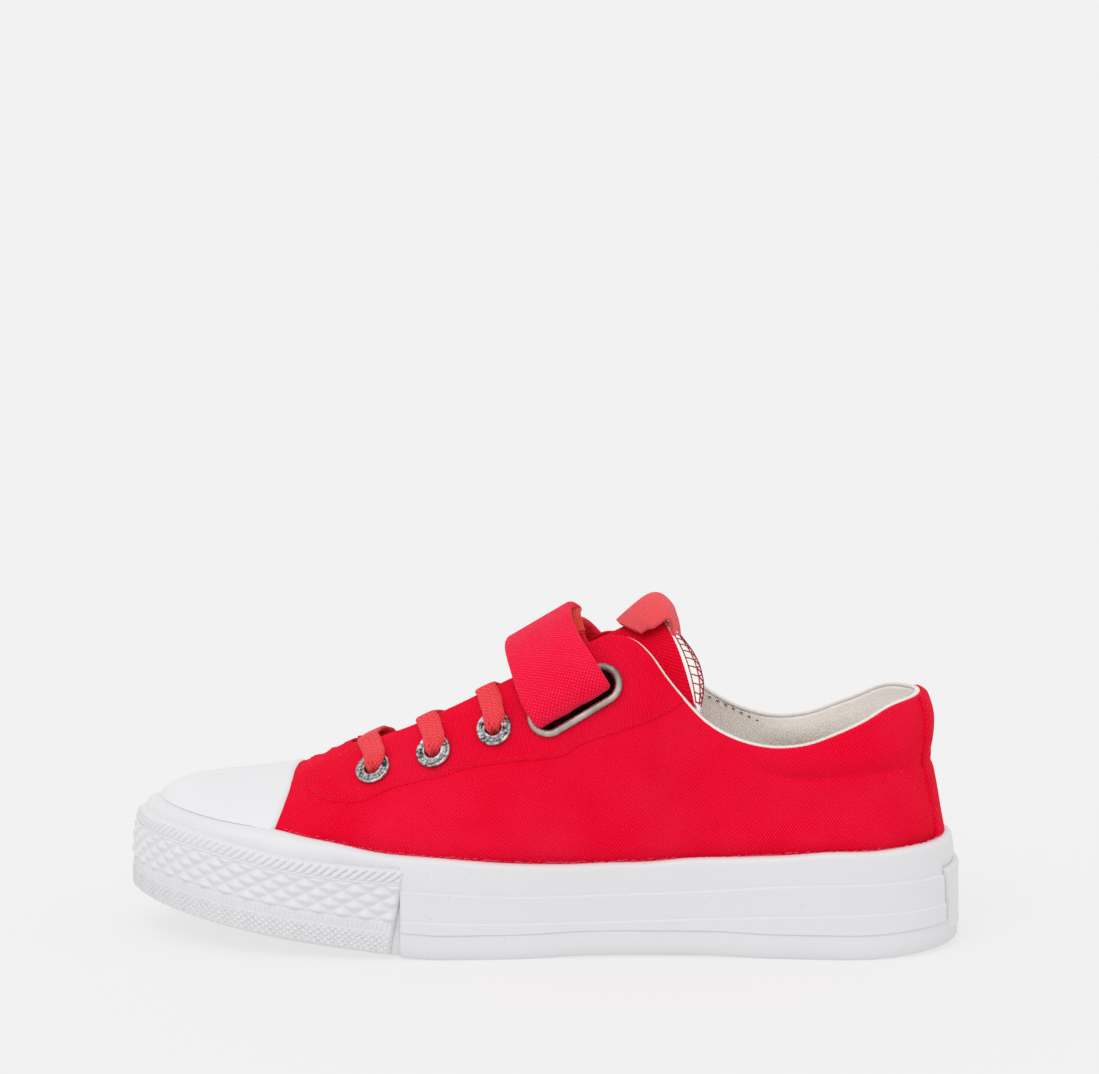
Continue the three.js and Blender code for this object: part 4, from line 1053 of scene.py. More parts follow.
def add_foxing():
    stations = even_stations(TOE_END, HEEL_END, 0.9, extra=(72.6, 72.9, 73.2, 73.5))
    station, side = round_heel(stations)
    station, side = station[:-1], side[:-1]
    low = outsole_top(station) - 0.02
    high = band_top(station) + 0.25 * waves(wall(station, side, 20.0), 24, 31) * smooth(30, 60, station)
    first, second = look_up(LINE_1, "height", station), look_up(LINE_2, "height", station)
    ledge = (-0.5, -0.38, -0.26, -0.16, -0.08, -0.02, 0.05)
    columns = [low]
    columns += [mix(low, second - 0.5, t) for t in (0.4, 0.8)]
    columns += [second + d for d in ledge]
    columns += [mix(second + 0.05, first - 0.5, t) for t in (0.2, 0.4, 0.6, 0.8)]
    columns += [first + d for d in ledge]
    bumper = look_up(BUMPER_TOPS, "height", station)
    columns += [mix(first + 0.05, high - 1.3, t) for t in (0.2, 0.4, 0.6, 0.8)]
    columns += [high - d for d in (1.3, 1.0, 0.7, 0.45, 0.25, 0.1, 0.02, 0.0)]
    height = np.concatenate([np.broadcast_to(c, station.shape) for c in columns], 1)
    offset = 2.55 + stepped(0.5, height, first) + stepped(0.42, height, second)
    offset = offset - 1.5 * (1 - rounding(high - height, 1.3))
    offset[:, -1:] -= 0.25
    skin = wall(station, side, height)
    offset = offset + (0.06 * waves(skin, 26, 32) + 0.025 * waves(skin, 7, 33))
    under = (1 - smooth(bumper - 0.2, bumper + 0.5, height)) * (1 - smooth(72.9, 73.3, station))
    offset = mix(offset, 1.5, under)
    patch = smooth(PATCH_START - 0.4, PATCH_START, station)
    patch = patch * smooth(PATCH_BOTTOM - 0.6, PATCH_BOTTOM, height)
    patch = patch * (1 - smooth(PATCH_TOP, PATCH_TOP + 0.6, height))
    offset = mix(offset, 1.7, patch)
    outer = wall(station, side, height, offset)
    inner = wall(station, side, height, np.minimum(0.45, offset - 0.3))
    piece = shell("foxing_band", outer, inner, RUBBER, "rubber", wrap=True, merge=0.004, sharp=50)
    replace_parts(piece, "foxing")


def tread(station, y, width):
    """Depth of the tread below the sole's own surface: cross grooves and a fine wavy rib between them."""
    inset = smooth(8.2, 9.2, width - np.abs(y))
    groove = np.zeros_like(y)
    for at in [*np.linspace(60, 108, 7), *np.linspace(164, 196, 5)]:
        groove = np.maximum(groove, 1 - smooth(1.0, 1.4, np.abs(station - at)))
    zigzag = np.abs(np.mod(y / 7.0, 1) - 0.5) * 5.0
    fine = smooth(0.1, 0.5, np.sin((station + zigzag) * 2 * np.pi / 4.0))
    return 1.2 * groove * inset + 0.45 * fine * smooth(3.0, 3.8, width - np.abs(y)) * (1 - groove)


def add_outsole():
    stations = even_stations(TOE_END, HEEL_END, 1.0, extra=(72.9, 73.3))[:, None]
    share = np.linspace(-1, 1, 61)[None]
    tuck = (1 - smooth(72.9, 73.3, stations)) * OUTSOLE_TUCK
    floor = ground(stations)
    profile = [(0.0, 0.9), (0.25, 0.45), (0.9, 0.0), (3.2, -0.05), (6.1, 0.0), (OUTSOLE_THICKNESS, 0.12)]
    medial, lateral = (
        [wall(stations, side, floor + level, OUTSOLE_OUT - cut - tuck)[:, 0] for level, cut in profile]
        for side in SIDES.values()
    )
    bottom = medial[0][:, None] + (lateral[0] - medial[0])[:, None] * (share[..., None] + 1) / 2
    half = np.abs(lateral[0] - medial[0])[:, 1][:, None] / 2
    middle = (lateral[0] + medial[0])[:, 1][:, None] / 2
    place = bottom[..., 0] + LENGTH / 2
    bottom[..., 2] += tread(place, bottom[..., 1] - middle, half)
    across = (np.linspace(-1, 1, 9)[None, :, None] + 1) / 2
    top_plate = medial[-1][:, None] + (lateral[-1] - medial[-1])[:, None] * across
    rings = np.concatenate([
        bottom, np.stack(lateral[1:-1], 1), top_plate[:, ::-1], np.stack(medial[1:-1][::-1], 1),
    ], 1)
    part = outward(tube_faces(rings))
    piece = build("outsole_rubber", *part, SOLE_RUBBER, "rubber", sharp=40, merge=0.004)
    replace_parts(piece, "outsole")


def bumper_relief(u, part):
    """Height of the bumper's pattern: u runs round the toe and part from 0 at the top to 1 at the bottom."""
    tall = 24.0
    v = part * tall

    def points(a, b):
        """Heights of a net of diamonds: 0 on its lines and a half at each middle."""
        return np.minimum(0.5 - np.abs(np.mod(a + b, 1) - 0.5), 0.5 - np.abs(np.mod(a - b, 1) - 0.5))

    slant = np.mod((u + v) / 2.15, 1)
    ribs = 0.5 * smooth(0.02, 0.3, slant) * (1 - smooth(0.75, 0.98, slant))
    diamonds = 1.05 * np.minimum(2 * points(u / 6.2, (v - 0.2 * tall) / 4.4), 0.85)
    cords = 0.42 * (0.5 + 0.5 * np.sin(u * 2 * np.pi / 1.35))
    knurl = 0.65 * np.minimum(2.4 * points(u / 1.9, v / 1.7), 1)
    lip = 0.3

    def zone(low, high, edge=0.012):
        return smooth(low - edge, low + edge, part) * (1 - smooth(high - edge, high + edge, part))

    out = ribs * zone(0.025, 0.155) + diamonds * zone(0.2, 0.6)
    out = out + cords * zone(0.625, 0.715) + knurl * zone(0.745, 0.98)
    for at, tall_lip in ((0.178, 0.5), (0.73, 0.15)):
        out = out + tall_lip * np.exp(-((part - at) / 0.013) ** 2)
    return out + lip * smooth(0.0, 0.02, part) * (1 - smooth(0.97, 1.0, part))


def add_bumper():
    stations = even_stations(TOE_END, BUMPER_END, 0.42)
    station, side = round_toe(stations)
    part = np.concatenate([[0, 0.008, 0.02], np.linspace(0.035, 0.965, 74), [0.98, 0.992, 1.0]])[None]
    lean = smooth(52, BUMPER_END, station) * (1.5 - 4.0 * part)
    top = look_up(BUMPER_TOPS, "height", station)
    height = mix(top, ground(station) + 0.5, part)
    middle = wall(station, side, mix(top, ground(station) + 0.5, 0.5), BUMPER_OUT)[:, 0]
    u = lengths(middle, 0)[:, None]
    span = u[-1, 0]
    ends = smooth(0, 0.8, u) * (1 - smooth(span - 0.8, span, u))
    relief = bumper_relief(u - span / 2, part) * ends
    body = BUMPER_OUT - 1.05 - 0.5 * (1 - rounding(np.minimum(part, 1 - part), 0.03)) - 0.35 * (1 - ends)
    shifted, height = (station + lean)[:, ::-1], height[:, ::-1]
    outer = wall(shifted, side, height, (body + relief)[:, ::-1])
    inner = wall(shifted, side, height, BUMPER_SEAT - 0.3)
    piece = shell("toe_bumper_rubber", outer, inner, RUBBER, "rubber", sharp=60, merge=0.002)
    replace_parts(piece, "toe_bumper")


def add_toe_cap():
    up = np.linspace(0, 1, 44)[None]
    along = np.linspace(0, 1, 90)[:, None]
    rear = 40.8 + 1.9 * up**0.7 + 0.9 * np.sin(np.pi * up) ** 2
    reach = (rear - TOE_END) / (1 - math.cos(CAP_TURN))
    station = TOE_END + reach * (1 - np.cos(along * CAP_TURN))
    angle = mix(angle_at(station, band_top(station) - 0.6), np.pi / 2, up)
    back = rear - station
    thick = mix(0.2, 0.85, rounding(back, 0.7)) + 0.4 * smooth(0.5, 7, back)

    def layer(offset):
        lateral, medial = (arch(station, side, angle, offset) for side in (LATERAL, MEDIAL))
        return np.concatenate([lateral[::-1], medial[1:]], 0)

    outer, inner = layer(thick), layer(-0.1)
    rim = np.zeros(len(outer), dtype=bool)
    piece = shell("toe_cap_rubber", outer, inner, CAP_RUBBER, "rubber", sharp=50, merge=0.02, high_rim=rim)
    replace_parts(piece, "toe_cap")


def add_heel_patch():
    stations = even_stations(PATCH_START, HEEL_END, 0.5)
    station, side = round_heel(stations)
    share = np.linspace(0, 1, 34)[None]
    height = mix(PATCH_BOTTOM, PATCH_TOP, share)
    place = wall(station, side, 12.0, PATCH_OUT)[:, 0]
    u = lengths(place, 0)[:, None]
    edge = np.minimum(np.minimum(u, u[-1] - u), np.minimum(share, 1 - share) * (PATCH_TOP - PATCH_BOTTOM))
    rounded = rounding(edge, 0.7)
    offset = PATCH_SEAT + 0.2 + (PATCH_OUT - PATCH_SEAT - 0.45) * rounded
    offset = offset + 0.25 * rounded * (1 - smooth(1.3, 1.9, edge))
    outer = wall(station, side, height, offset)
    inner = wall(station, side, height, PATCH_SEAT - 0.2)
    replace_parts(shell("heel_patch_rubber", outer, inner, RUBBER, "rubber"), "heel_patch")


def add_insole():
    stations = even_stations(TOE_END + 0.3, HEEL_END - 0.3, 2.0)
    share = np.linspace(-1, 1, 31)[None, :, None]
    base = feather(stations)
    edge = -WALL - 0.5

    def level(lift, cup):
        medial, lateral = (wall(stations, side, base, edge) for side in SIDES.values())
        sheet = medial[:, None] + (lateral - medial)[:, None] * (share + 1) / 2
        sheet[..., 2] += lift + cup * np.abs(share[..., 0]) ** 5
        return sheet

    top = level(2.9, 0.5)
    heel_cup = np.exp(-(((top[..., 0] - 74) / 16) ** 2 + (top[..., 1] / 13) ** 2))
    top[..., 2] += 0.12 * waves(top, 40, 41) - 0.8 * heel_cup
    rings = np.concatenate([level(0.1, 0.0)[:, ::3], top[:, ::-1]], 1)
    piece = build("insole_cushion", *outward(tube_faces(rings)), LINING, "lining", merge=0.004)
    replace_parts(piece, "insole")


def add_heel_strip():
    stations = even_stations(206.6, HEEL_END, 0.28)
    station, side = round_heel(stations)
    low, high = band_top(HEEL_END) - 1.0, look_up(COLLAR, "height", HEEL_END) - 0.5
    share = np.linspace(0, 1, 90)[None]
    height = mix(low, high, share) * np.ones_like(station)
    pad = COLLAR_BULGE * collar_pad(station, height)
    place = wall(station, side, 40.0)[:, 0]
    u = lengths(place, 0)[:, None]
    edge = np.minimum(np.minimum(u, u[-1] - u), (high - height) * 0.45 + 0.02)
    rounded = rounding(edge, 0.6)
    groove = np.exp(-((height - look_up(COLLAR_SEAM, "height", station)) / 1.25) ** 2)
    skin = wall(station, side, height, pad)
    seam = np.exp(-((np.minimum(u, u[-1] - u) - 1.5) / 0.5) ** 2)
    dips = 0.1 * waves(skin, 9, 43) - 0.45 * groove - 0.2 * seam
    outer = wall(station, side, height, pad + 0.1 + 0.75 * rounded + dips * rounded)
    inner = wall(station, side, height, pad - 0.5)
    piece = shell("heel_strip_canvas", outer, inner, FACING, "canvas")
    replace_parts(piece, "heel_strip")
    normals = grid_normals(outer)
    rows = (stitch_parts(outer[column, 4:-5], normals[column, 4:-5]) for column in (5, len(station) - 6))
    return sum(rows, [])


# ---------------------------------------------------------------- tongue and pull loop
TONGUE_THICKNESS, TONGUE_SLANT, TONGUE_CLEARANCE = 3.2, 33.0, 2.0
TONGUE_FACE = 1.6
TONGUE_LENGTH, TONGUE_WIDTH, TONGUE_ROUNDING = 84, 56, 1.6
TONGUE_END = table(
    "across station y height", (0, 134, 0, 84.0), (0.2, 135.2, 4.4, 82.9), (0.4, 138.2, 8.8, 79.4),
    (0.6, 140.6, 12.6, 75.4), (0.8, 142.9, 16.4, 69.6), (1.0, 145.1, 19.6, 62.6),
)


def tongue_point(along, across, depth):
    """A point of the tongue: along 0 to 1 from the vamp to its end, across -1 on the medial edge to 1."""
    first, last = TONGUE_RIDGE["station"][0], TONGUE_RIDGE["station"][-1]
    station = mix(first, last, along)
    ridge = look_up(TONGUE_RIDGE, "height", station) - depth
    edge = np.radians(mix(52.0, 38.0, along))
    angle = np.pi / 2 - np.abs(across) * (np.pi / 2 - edge)
    shoulder = section("shoulder", station)
    power = 2 / section("fullness", station)
    rise = np.maximum(np.sin(angle), 0) ** power
    at = station + TONGUE_SLANT * smooth(104, last, station) * (1 - rise)
    width = half_width(np.where(across < 0, MEDIAL, LATERAL), at) - WALL - TONGUE_CLEARANCE - depth
    y = np.where(across < 0, -1, 1) * width * np.maximum(np.cos(angle), 0) ** power
    crown = shoulder + (ridge - shoulder) * rise
    tilt = smooth(-0.2, 0.8, across) * (1 - smooth(0.7, 1.0, along))
    crown = crown - 0.9 * tilt * look_up(LATERAL_DROP, "drop", station)
    place = np.stack(np.broadcast_arrays(at - LENGTH / 2, y, crown), -1).astype(float)
    end, share = np.zeros((*np.broadcast(across, along).shape, 3)), np.abs(across) + 0 * along
    lateral = np.maximum(across, 0) + 0 * along
    end[..., 0] = look_up(TONGUE_END, "station", share) - 4.5 * lateral - LENGTH / 2
    end[..., 1] = look_up(TONGUE_END, "y", share) * np.where(across < 0, -1, 1)
    end[..., 2] = look_up(TONGUE_END, "height", share) - 6 * lateral - depth
    return mix(place, end, (smooth(0.55, 1.0, along) ** 1.3 + 0 * share)[..., None])


def edge_swell(along, across):
    """0 at the tongue's free edges and 1 from one rounding inside them."""
    inside = np.minimum((1 - np.abs(across)) * TONGUE_WIDTH / 2, (1 - along) * TONGUE_LENGTH)
    return rounding(inside, TONGUE_ROUNDING)


def dense(count, radius, reach):
    """Shares from -1 to 1, closer together near both ends."""
    near = np.array([0.0, 0.1, 0.25, 0.5, 0.8]) * radius / reach
    middle = np.linspace(-1 + near[-1] + 0.03, 1 - near[-1] - 0.03, count)
    return np.concatenate([-1 + near, middle, 1 - near[::-1]])


def add_tongue():
    across = dense(46, TONGUE_ROUNDING, TONGUE_WIDTH / 2)[None]
    end = 1 - np.array([0.028, 0.018, 0.01, 0.005, 0.002, 0.0])
    along = np.concatenate([np.linspace(0, 0.965, 74), end])[:, None]
    swell = edge_swell(along, across)
    flat = tongue_point(along, across, 0.0)
    lumps = (0.25 * waves(flat, 16, 51) + 0.1 * waves(flat, 5, 52)) * (1 - smooth(0.72, 0.86, along))
    face = tongue_point(along, across, 1.5 - 1.5 * swell - lumps * swell * 0.6)
    middle = tongue_point(along, across, TONGUE_FACE)
    back = tongue_point(along, across, TONGUE_FACE + (TONGUE_THICKNESS - TONGUE_FACE) * swell)
    piece = shell("tongue_face", face[:, ::-1], middle[:, ::-1], TONGUE_CLOTH, "canvas", merge=0.003)
    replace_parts(piece, "tongue")
    lining = shell("tongue_lining", middle[:, ::-1], back[:, ::-1], LINING, "lining", merge=0.003)


ROLL_WIDTH = table("across width", (0, 2.0), (0.3, 2.6), (0.5, 3.6), (0.7, 4.6), (0.88, 3.6), (1.0, 1.4))


def roll_point(across, share, lift=0.0):
    """A point round the lining rolled over the tongue's end: share 0 at its face, 1 at its back."""
    across = np.clip(across, -1, 1)
    face = tongue_point(1.0 + 0 * across, across, 0.25)
    back = tongue_point(1.0 + 0 * across, across, TONGUE_THICKNESS)
    width = look_up(ROLL_WIDTH, "width", np.abs(across)) * (1 - 0.5 * (across > 0)) + lift
    bulge = np.sin(np.pi * share) ** 0.65 * width
    soft = 0.12 * waves(face, 6, 53) * np.sin(np.pi * share)
    way = np.array([1.0, 0, -0.05])
    return face + (back - face) * share[..., None] + way * (bulge + soft)[..., None]


def add_tongue_roll():
    across = np.linspace(-1, 1, 120)[:, None]
    share = np.linspace(0, 1, 26)[None]
    outer = roll_point(across + 0 * share, share + 0 * across)
    inner = outer * 1.0
    inner[..., 0] -= 0.9 * np.sin(np.pi * share)
    piece = shell("tongue_roll", outer[:, ::-1], inner[:, ::-1], LINING, "lining", merge=0.002)


def overlock(side):
    """The net of threads sewn over the tongue's rolled end on one side."""
    parts = []
    circle = oval(0.16, 0.16, 6)

    def cord(a, b, count):
        t = np.linspace(a[0], b[0], count)
        share = np.linspace(a[1], b[1], count)
        line = roll_point(side * t, share, 0.12)
        across = np.cross(np.gradient(line, axis=0), UP)
        parts.append(outward(tube_faces(sweep(line, across, circle))))

    lanes = (0.04, 0.2, 0.36)
    for lane in lanes:
        cord((0.4, lane), (0.99, lane), 90)
    knots = np.linspace(0.42, 0.98, 10)
    for i, at in enumerate(knots):
        cord((at, lanes[0]), (at, lanes[1]), 5)
        if i + 1 < len(knots):
            middle = (at + knots[i + 1]) / 2
            cord((at, lanes[1]), (middle, lanes[2]), 5)
            cord((middle, lanes[2]), (knots[i + 1], lanes[1]), 5)
    return parts


LOOP_HALF_WIDTH = 10
LOOP_LINE = [  # along the shoe, across and up, over the tongue's crown
    (-7.6, 0, -5.6), (-4.8, 0, -3.0), (-2.2, 0, -0.8), (-0.4, 0, 0.5), (1.4, 0, 1.0), (3.4, 0, -0.4),
    (4.8, 0, -3.2), (5.4, 0, -7.0), (5.2, 0, -10.6),
]


def add_pull_loop():
    """A folded tab of webbing over the tongue's end, its two edges curled down."""
    line = spline(LOOP_LINE, 80)
    run = unit(np.gradient(line, axis=0))
    out = np.stack([-run[:, 2], 0 * run[:, 0], run[:, 0]], -1)
    share = dense(24, 0.5, LOOP_HALF_WIDTH)[None]
    reach = lengths(line, 0)
    bend = smooth(0, reach[28], reach)[:, None]
    back = smooth(reach[28], reach[54], reach)[:, None]
    origin = np.array([133 - LENGTH / 2, 0, 84.2])

    def level(lift):
        swell = rounding((1 - np.abs(share)) * LOOP_HALF_WIDTH, 0.6)
        ripple = 0.12 * np.sin(share * 9 + 1.0) * np.linspace(0, 1, len(line))[:, None]
        place = line[:, None] + out[:, None] * (1.1 + lift * (0.25 + 0.75 * swell) + ripple)[..., None]
        place = place + origin
        curl = np.abs(share) ** 1.7
        place[..., 0] += 0.3 + curl * mix(6.4, 3.9, bend) * (1 - 0.9 * back)
        place[..., 1] = share * LOOP_HALF_WIDTH
        place[..., 2] += 0.6 - curl * mix(1.4, 5.0, bend) * (1 - 0.3 * back)
        return place

    outer, inner = level(0.6), level(-0.6)
    uv = cloth_uv(outer)[:, ::-1]
    piece = shell("pull_loop_webbing", outer[:, ::-1], inner[:, ::-1], WEBBING, "webbing", uv=uv)
    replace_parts(piece, "pull_loop")


# ---------------------------------------------------------------- strap
STRAP_WIDTH, STRAP_HALF_THICKNESS, STRAP_ROUNDING = 19.4, 1.1, 1.3
STRAP_LINE = np.array([  # Y and height in the slot's slanted plane, from the lateral base to the folded end
    (32.4, -15.5), (31.4, -9.5), (29.4, -3.8), (26.4, 1.8), (21.8, 6.6), (15.4, 10.6), (7.5, 13.4),
    (0, 14.2), (-7.5, 12.2), (-12.7, 7.6), (-16.2, 2.7), (-19.3, -0.1), (-22.4, -0.9), (-24.8, 0.9),
    (-25.2, 4.4), (-22.9, 9.4), (-18.2, 14.0), (-10, 17.8), (-2, 18.9), (6, 18.2), (13.5, 15.8),
])
STRAP_ACROSS = np.array([math.cos(SLOT_TILT), 0, math.sin(SLOT_TILT)])
STRAP_RISING = np.array([-math.sin(SLOT_TILT), 0, math.cos(SLOT_TILT)])


def strap_centre(rows):
    place = np.array([SLOT_STATION - LENGTH / 2, 0, SLOT_HEIGHT]) + rows[:, 1:] * STRAP_RISING
    place[:, 1] = rows[:, 0]
    return place


def add_strap():
    line = spline(strap_centre(STRAP_LINE), 210)
    run = lengths(line, 0)
    along = unit(np.gradient(line, axis=0))
    up = unit(np.cross(along, STRAP_ACROSS))
    half = STRAP_WIDTH / 2
    share = dense(40, STRAP_ROUNDING, half)[None]
    ring_at = run[np.argmin(line[:, 1])]
    squeeze = 1 + 0.11 * np.exp(-((run - ring_at) / 9.0) ** 2)[:, None]
    swell = rounding((1 - np.abs(share)) * half, STRAP_ROUNDING)
    ends = rounding(np.minimum(run, run[-1] - run), STRAP_ROUNDING)[:, None]
    place = line[:, None] + STRAP_ACROSS * (share * half * squeeze)[..., None]
    lumps = 0.16 * waves(place, 13, 71) + 0.06 * waves(place, 4.5, 72)
    pull = 0.35 * np.exp(-((run[:, None] - ring_at) / 6) ** 2) * np.sin(share * 8.5 + 0.6)
    groove = 0.22 * np.exp(-(((1 - np.abs(share)) * half * squeeze - 2.2) / 0.5) ** 2)
    above = STRAP_HALF_THICKNESS * swell * ends + (lumps + pull * 0.6) * swell - groove * swell
    under = STRAP_HALF_THICKNESS * swell * ends - pull * 0.6 * swell
    top = place + up[:, None] * above[..., None]
    low = place - up[:, None] * under[..., None]
    uv = cloth_uv(top)[:, ::-1]
    piece = shell("strap_cloth", top[:, ::-1], low[:, ::-1], STRAP_CLOTH, "canvas", uv=uv, merge=0.003)
    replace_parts(piece, "strap")
    layer = np.linspace(ring_at + 15, run[-1] - 13, 60)
    below = unit(sample(layer, run, up))
    middle = sample(layer, run, line) + below * 2.2 + STRAP_ACROSS * 1.2
    sections = flat_section(30, 0.4) * (STRAP_WIDTH + 0.6, 1.9) / 2
    part = outward(tube_faces(sweep(middle, STRAP_ACROSS, sections)))
    build("strap_hooks", *part, HOOKS, "canvas", sharp=50)


def add_ring():
    outline = respaced(slot_outline(SLOT_RADIUS + 1.15, 40), 150, closed=True)
    axes = wall_frame(*RING_PLACE)
    line = in_frame(axes, at_height(outline, 0.95))
    along = np.clip((line - axes[0]) @ axes[1], -SLOT_HALF_LENGTH, SLOT_HALF_LENGTH)
    out_way = unit(line - (along[:, None] * axes[1] + axes[0]))

    def hoop(middle, profile):
        return outward(tube_faces(sweep(middle, out_way, profile, closed=True), closed=True))

    ring = [hoop(line, oval(0.98, 0.85, 20))]
    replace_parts(join_parts("slot_ring_metal", ring, RING_METAL, "ring_metal"), "slot_ring")
    # painted shadow: a dark lip inside the ring and a thin dark sheet across the slot, put where the hole
    # lies in shade
    lip = hoop(in_frame(axes, at_height(outline * 0.965, -0.3)), oval(0.4, 1.1, 20))
    share = np.linspace(0.02, 1, 8)[None, :, None]
    sheet = in_frame(axes, at_height(outline[:, None] * share, FACING_LIFT + 0.26))
    dark = outward(slab_faces(sheet, sheet - axes[3] * 0.1, cloth_uv(sheet, True), True))
    join_parts("slot_painted_shadow", [lip, dark], PAINTED_SLOT_SHADOW, "ring_metal")


# ---------------------------------------------------------------- eyelets and laces
EYELET_PROFILE = [  # radius and height
    (1.95, -1.7), (2.3, -1.7), (2.3, 0.3), (4.35, 0.45), (4.5, 0.7), (4.42, 1.0), (4.15, 1.18), (3.85, 1.12),
    (3.6, 0.98), (3.1, 0.98), (2.85, 1.12), (2.6, 1.35), (2.3, 1.4), (2.08, 1.2), (1.98, 0.8), (1.95, 0.2),
]
EYELET_LIFT = FACING_LIFT * 0.6
EYELET_MARKS, MARK_RADIUS = 20, 0.3
MARK_CIRCLE, MARK_HALF_ARC = 3.36, 0.09


def add_eyelet(name, node, station, side, height):
    axes = eyelet_frame(station, side, height)
    profile = spline(np.array([(r, z, 0) for r, z in EYELET_PROFILE + EYELET_PROFILE[:1]]), 60)[:-1, :2]
    spokes = oval(1, 1, 72)[:, None] * profile[None, :, :1]
    rise = np.broadcast_to(profile[None, :, 1:] + EYELET_LIFT, (*spokes.shape[:2], 1))
    parts = [outward(tube_faces(in_frame(axes, np.concatenate([spokes, rise], -1)), closed=True))]
    steps = np.linspace(-1, 1, 5)
    size = np.sqrt(np.clip(1 - steps**2, 0.02, 1))[:, None, None] * MARK_RADIUS
    across, up = (part[None, :, None] for part in oval(1, 1, 8).T)
    for k in range(EYELET_MARKS):
        a = 2 * math.pi * k / EYELET_MARKS
        turn = a + steps * MARK_HALF_ARC
        arc = MARK_CIRCLE * np.stack([np.cos(turn), np.sin(turn)], -1)
        middle = at_height(arc, 1.22 + EYELET_LIFT)
        radial = np.array([math.cos(a), math.sin(a), 0])
        bead = middle[:, None] + size * (across * radial + up * np.array([0, 0, 0.8]))
        parts.append(outward(tube_faces(in_frame(axes, bead))))
    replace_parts(join_parts(name, parts, EYELET_METAL, "eyelet_metal"), node)


def lace_path(station, height):
    """Middle line of one lace bar: out of the medial eyelet, over the throat and into the lateral one."""
    ends = []
    for side in (MEDIAL, LATERAL):
        axes = eyelet_frame(station, side, height)
        hole = [axes[0] - axes[3] * 3.2 - axes[2] * 0.3, axes[0] - axes[3] * 0.2 + axes[2] * 0.1,
                axes[0] + axes[3] * 1.8 + axes[2] * 1.1, axes[0] + axes[3] * 2.3 + axes[2] * 2.6]
        over = []
        for share in (0.45, 0.7, 0.95):
            place = station - 3.0 * share
            low = angle_at(place, height + 2.2)
            angle = mix(low, edge_angle(place, side), share)
            over.append(arch(place, side, angle, mix(1.5, 1.2, share)))
        ends.append(hole + over)
    top_a, top_b = ends[0][-1], ends[1][-1]
    steps = (0.2, 0.4, 0.6, 0.8)
    middle = [top_a + (top_b - top_a) * t + UP * (0.35 * (1 - (2 * t - 1) ** 2)) for t in steps]
    return np.array(ends[0] + middle + ends[1][::-1])


def add_lace(number, station, height):
    path = lace_path(station, height)
    line = spline(path, 150)
    run = lengths(line, 0)
    mouth = np.minimum(run, run[-1] - run)
    width = mix(3.7, 5.8, smooth(2.6, 8.0, mouth))
    width = width * (1 + 0.03 * np.sin(run * 0.9 + number))
    slope = math.radians(26)
    level = np.array([math.cos(slope), 0, math.sin(slope)])
    across, up = flat_section(36, 0.55).T
    bunch = 1 - smooth(3.0, 9.0, mouth)
    fold = 0.45 * bunch[:, None] * np.sin(across * 5.2 + number)[None]
    thick = mix(1.2, 1.9, bunch)[:, None]
    sections = np.stack([across[None] * width[:, None] / 2, up[None] * thick / 2 + fold], -1)
    rings = sweep(line, level, sections)
    piece = build(f"lace_{number}", *outward(tube_faces(rings)), LACE, "webbing")
    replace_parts(piece, f"lace_bar_{number}")


# ---------------------------------------------------------------- threads at the edges
def frayed_edge():
    """Fine loose ends of yarn where the canvas goes under the sole band."""
    chance = np.random.default_rng(81)
    parts = []
    steps = np.linspace(0, 1, 4)
    for side in (MEDIAL, LATERAL):
        for station in np.arange(43.5, 206, 0.8):
            start = station + chance.uniform(-0.4, 0.4)
            long = chance.uniform(0.8, 1.7)
            tilt = chance.uniform(-0.5, 0.5)
            height = band_top(start) + chance.uniform(-0.1, 0.25)
            at = start + long * steps
            rise = height + tilt * steps * 0.7 + 0.25 * np.sin(steps * 3)
            line = wall(at, side, rise, 0.55 + 0.35 * np.sin(steps * 3.1))
            normals = np.broadcast_to(unit(np.array([0, side, 0.2])), line.shape)
            length = max(lengths(line, 0)[-1] - 0.45, 0.3)
            parts += stitch_parts(line, normals, pitch=9, length=length, radius=0.09, lift=0.06)
    return parts


def lining_stitches():
    """Dotted seam inside the lateral quarter, where the collar's lining is sewn to the wall's."""
    places = np.array([
        (143, 59.2), (147, 57.2), (151, 55.4), (159, 51.7), (166, 48.9), (174, 46.4), (182, 45.2),
        (191, 44.9), (199, 46.0),
    ])
    station = np.linspace(143, 199, 160)
    height = np.interp(station, *places.T)
    line = wall(station, LATERAL, height, -WALL - 0.02)
    normals = np.broadcast_to(unit(np.array([0.0, -1.0, 0.15])), line.shape)
    return stitch_parts(line, normals, pitch=2.3, length=0.9, radius=0.2, lift=0.2)


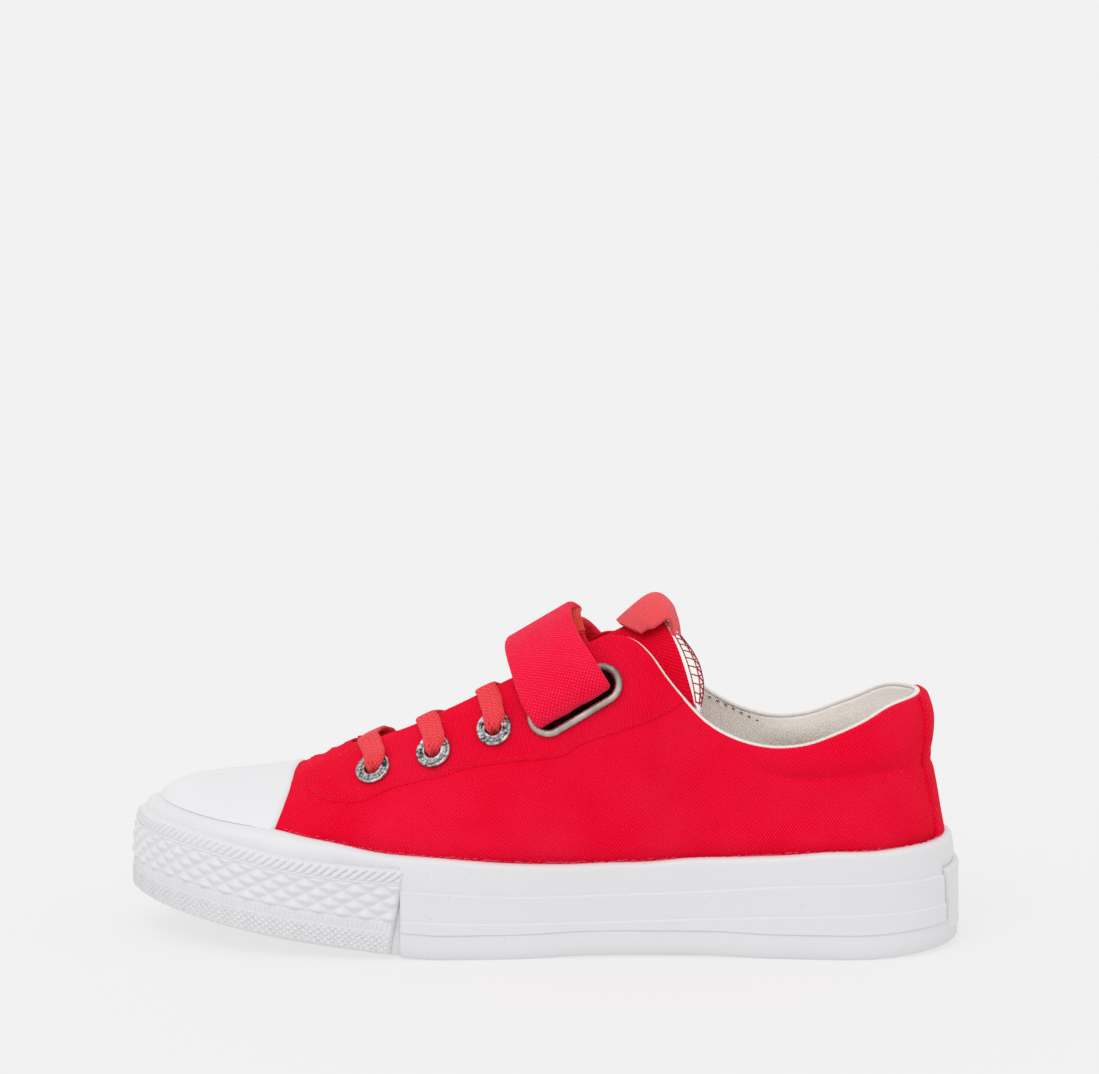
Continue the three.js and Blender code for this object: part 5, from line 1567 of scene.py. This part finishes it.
# ---------------------------------------------------------------- assembly
def add_all():
    canvas, lining = add_upper()
    facings = [add_facing(f"facing_{word}", side) for word, side in SIDES.items()]
    cut_holes([canvas, lining, *facings])
    add_piping()
    add_foxing()
    add_outsole()
    add_bumper()
    add_toe_cap()
    add_heel_patch()
    add_insole()
    heel_threads = add_heel_strip()
    add_tongue()
    add_tongue_roll()
    add_pull_loop()
    add_strap()
    add_ring()
    for i, (station, height) in enumerate(EYELET_PLACES, 1):
        for word, side in SIDES.items():
            add_eyelet(f"eyelet_{word}_{i}_metal", f"eyelet_{word}_{i}", station, side, height)
        add_lace(i, station, height)
    threads = facing_stitches(MEDIAL) + facing_stitches(LATERAL) + heel_threads
    join_parts("red_stitches", threads, RED_THREAD, "canvas")
    join_parts("frayed_threads", frayed_edge(), FRAYED_THREAD, "canvas")
    join_parts("lining_stitches", lining_stitches(), SEAM_THREAD, "lining")
    join_parts("overlock_threads", overlock(MEDIAL) + overlock(LATERAL), EDGE_THREAD, "lining")


add_all()


# ---------------------------------------------------------------- floor and light
BACKDROP = linear(242, 242, 242)
PAPER_GLOW = 0.72
SUNS = (
    ("key_light", (36, -16, 0), 0.62, 40),
    ("front_light", (58, 14, 0), 0.16, 60),
)


def add_light():
    world = bpy.data.worlds.new("studio")
    world.use_nodes = True
    world.node_tree.nodes["Background"].inputs["Color"].default_value = BACKDROP
    bpy.context.scene.world = world
    for name, (pitch, roll, yaw), strength, size in SUNS:
        data = bpy.data.lights.new(name, "SUN")
        data.energy = strength
        data.angle = math.radians(size)
        light = new_object(name, data)
        light.rotation_euler = (math.radians(pitch), math.radians(roll), math.radians(yaw))


def lift_shadows(surface, share):
    """Part of the paper's brightness comes from itself, like paper lit from below, so shadows stay pale."""
    glow = surface.add("Emission", {"Color": BACKDROP, "Strength": 1.0})
    both = surface.add("MixShader", {0: share, 1: surface.shader.outputs[0], 2: glow.outputs[0]})
    output = surface.tree.nodes["Material Output"]
    surface.put(output.inputs["Surface"], both.outputs[0])


def add_floor():
    surface = Surface("floor_paper", 0.9, specular=0.0)
    grain = surface.noise(240.0, 3.0, surface.place())
    shade = sum(
        strength * math.cos(math.radians(pitch)) * math.cos(math.radians(roll)) / math.pi
        for _, (pitch, roll, _), strength, _ in SUNS
    )
    tone = BACKDROP[0] / (BACKDROP[0] + shade)
    dull = tone * 0.995
    colour = surface.blend(surface.range(grain, 0.3, 0.7), (tone, tone, tone, 1), (dull, dull, dull, 1))
    surface.finish(colour, grain, 0.1, 0.00002)
    lift_shadows(surface, PAPER_GLOW)
    mesh = bpy.data.meshes.new("floor")
    near, far = -4.0, 12.0
    corners = [(near, near, 0), (-near, near, 0), (-near, far, 0), (near, far, 0)]
    mesh.from_pydata(corners, [], [(0, 1, 2, 3)])
    mesh.materials.append(surface.material)
    floor = new_object("floor", mesh)


add_floor()
add_light()
bpy.context.scene.view_settings.view_transform = "Standard"
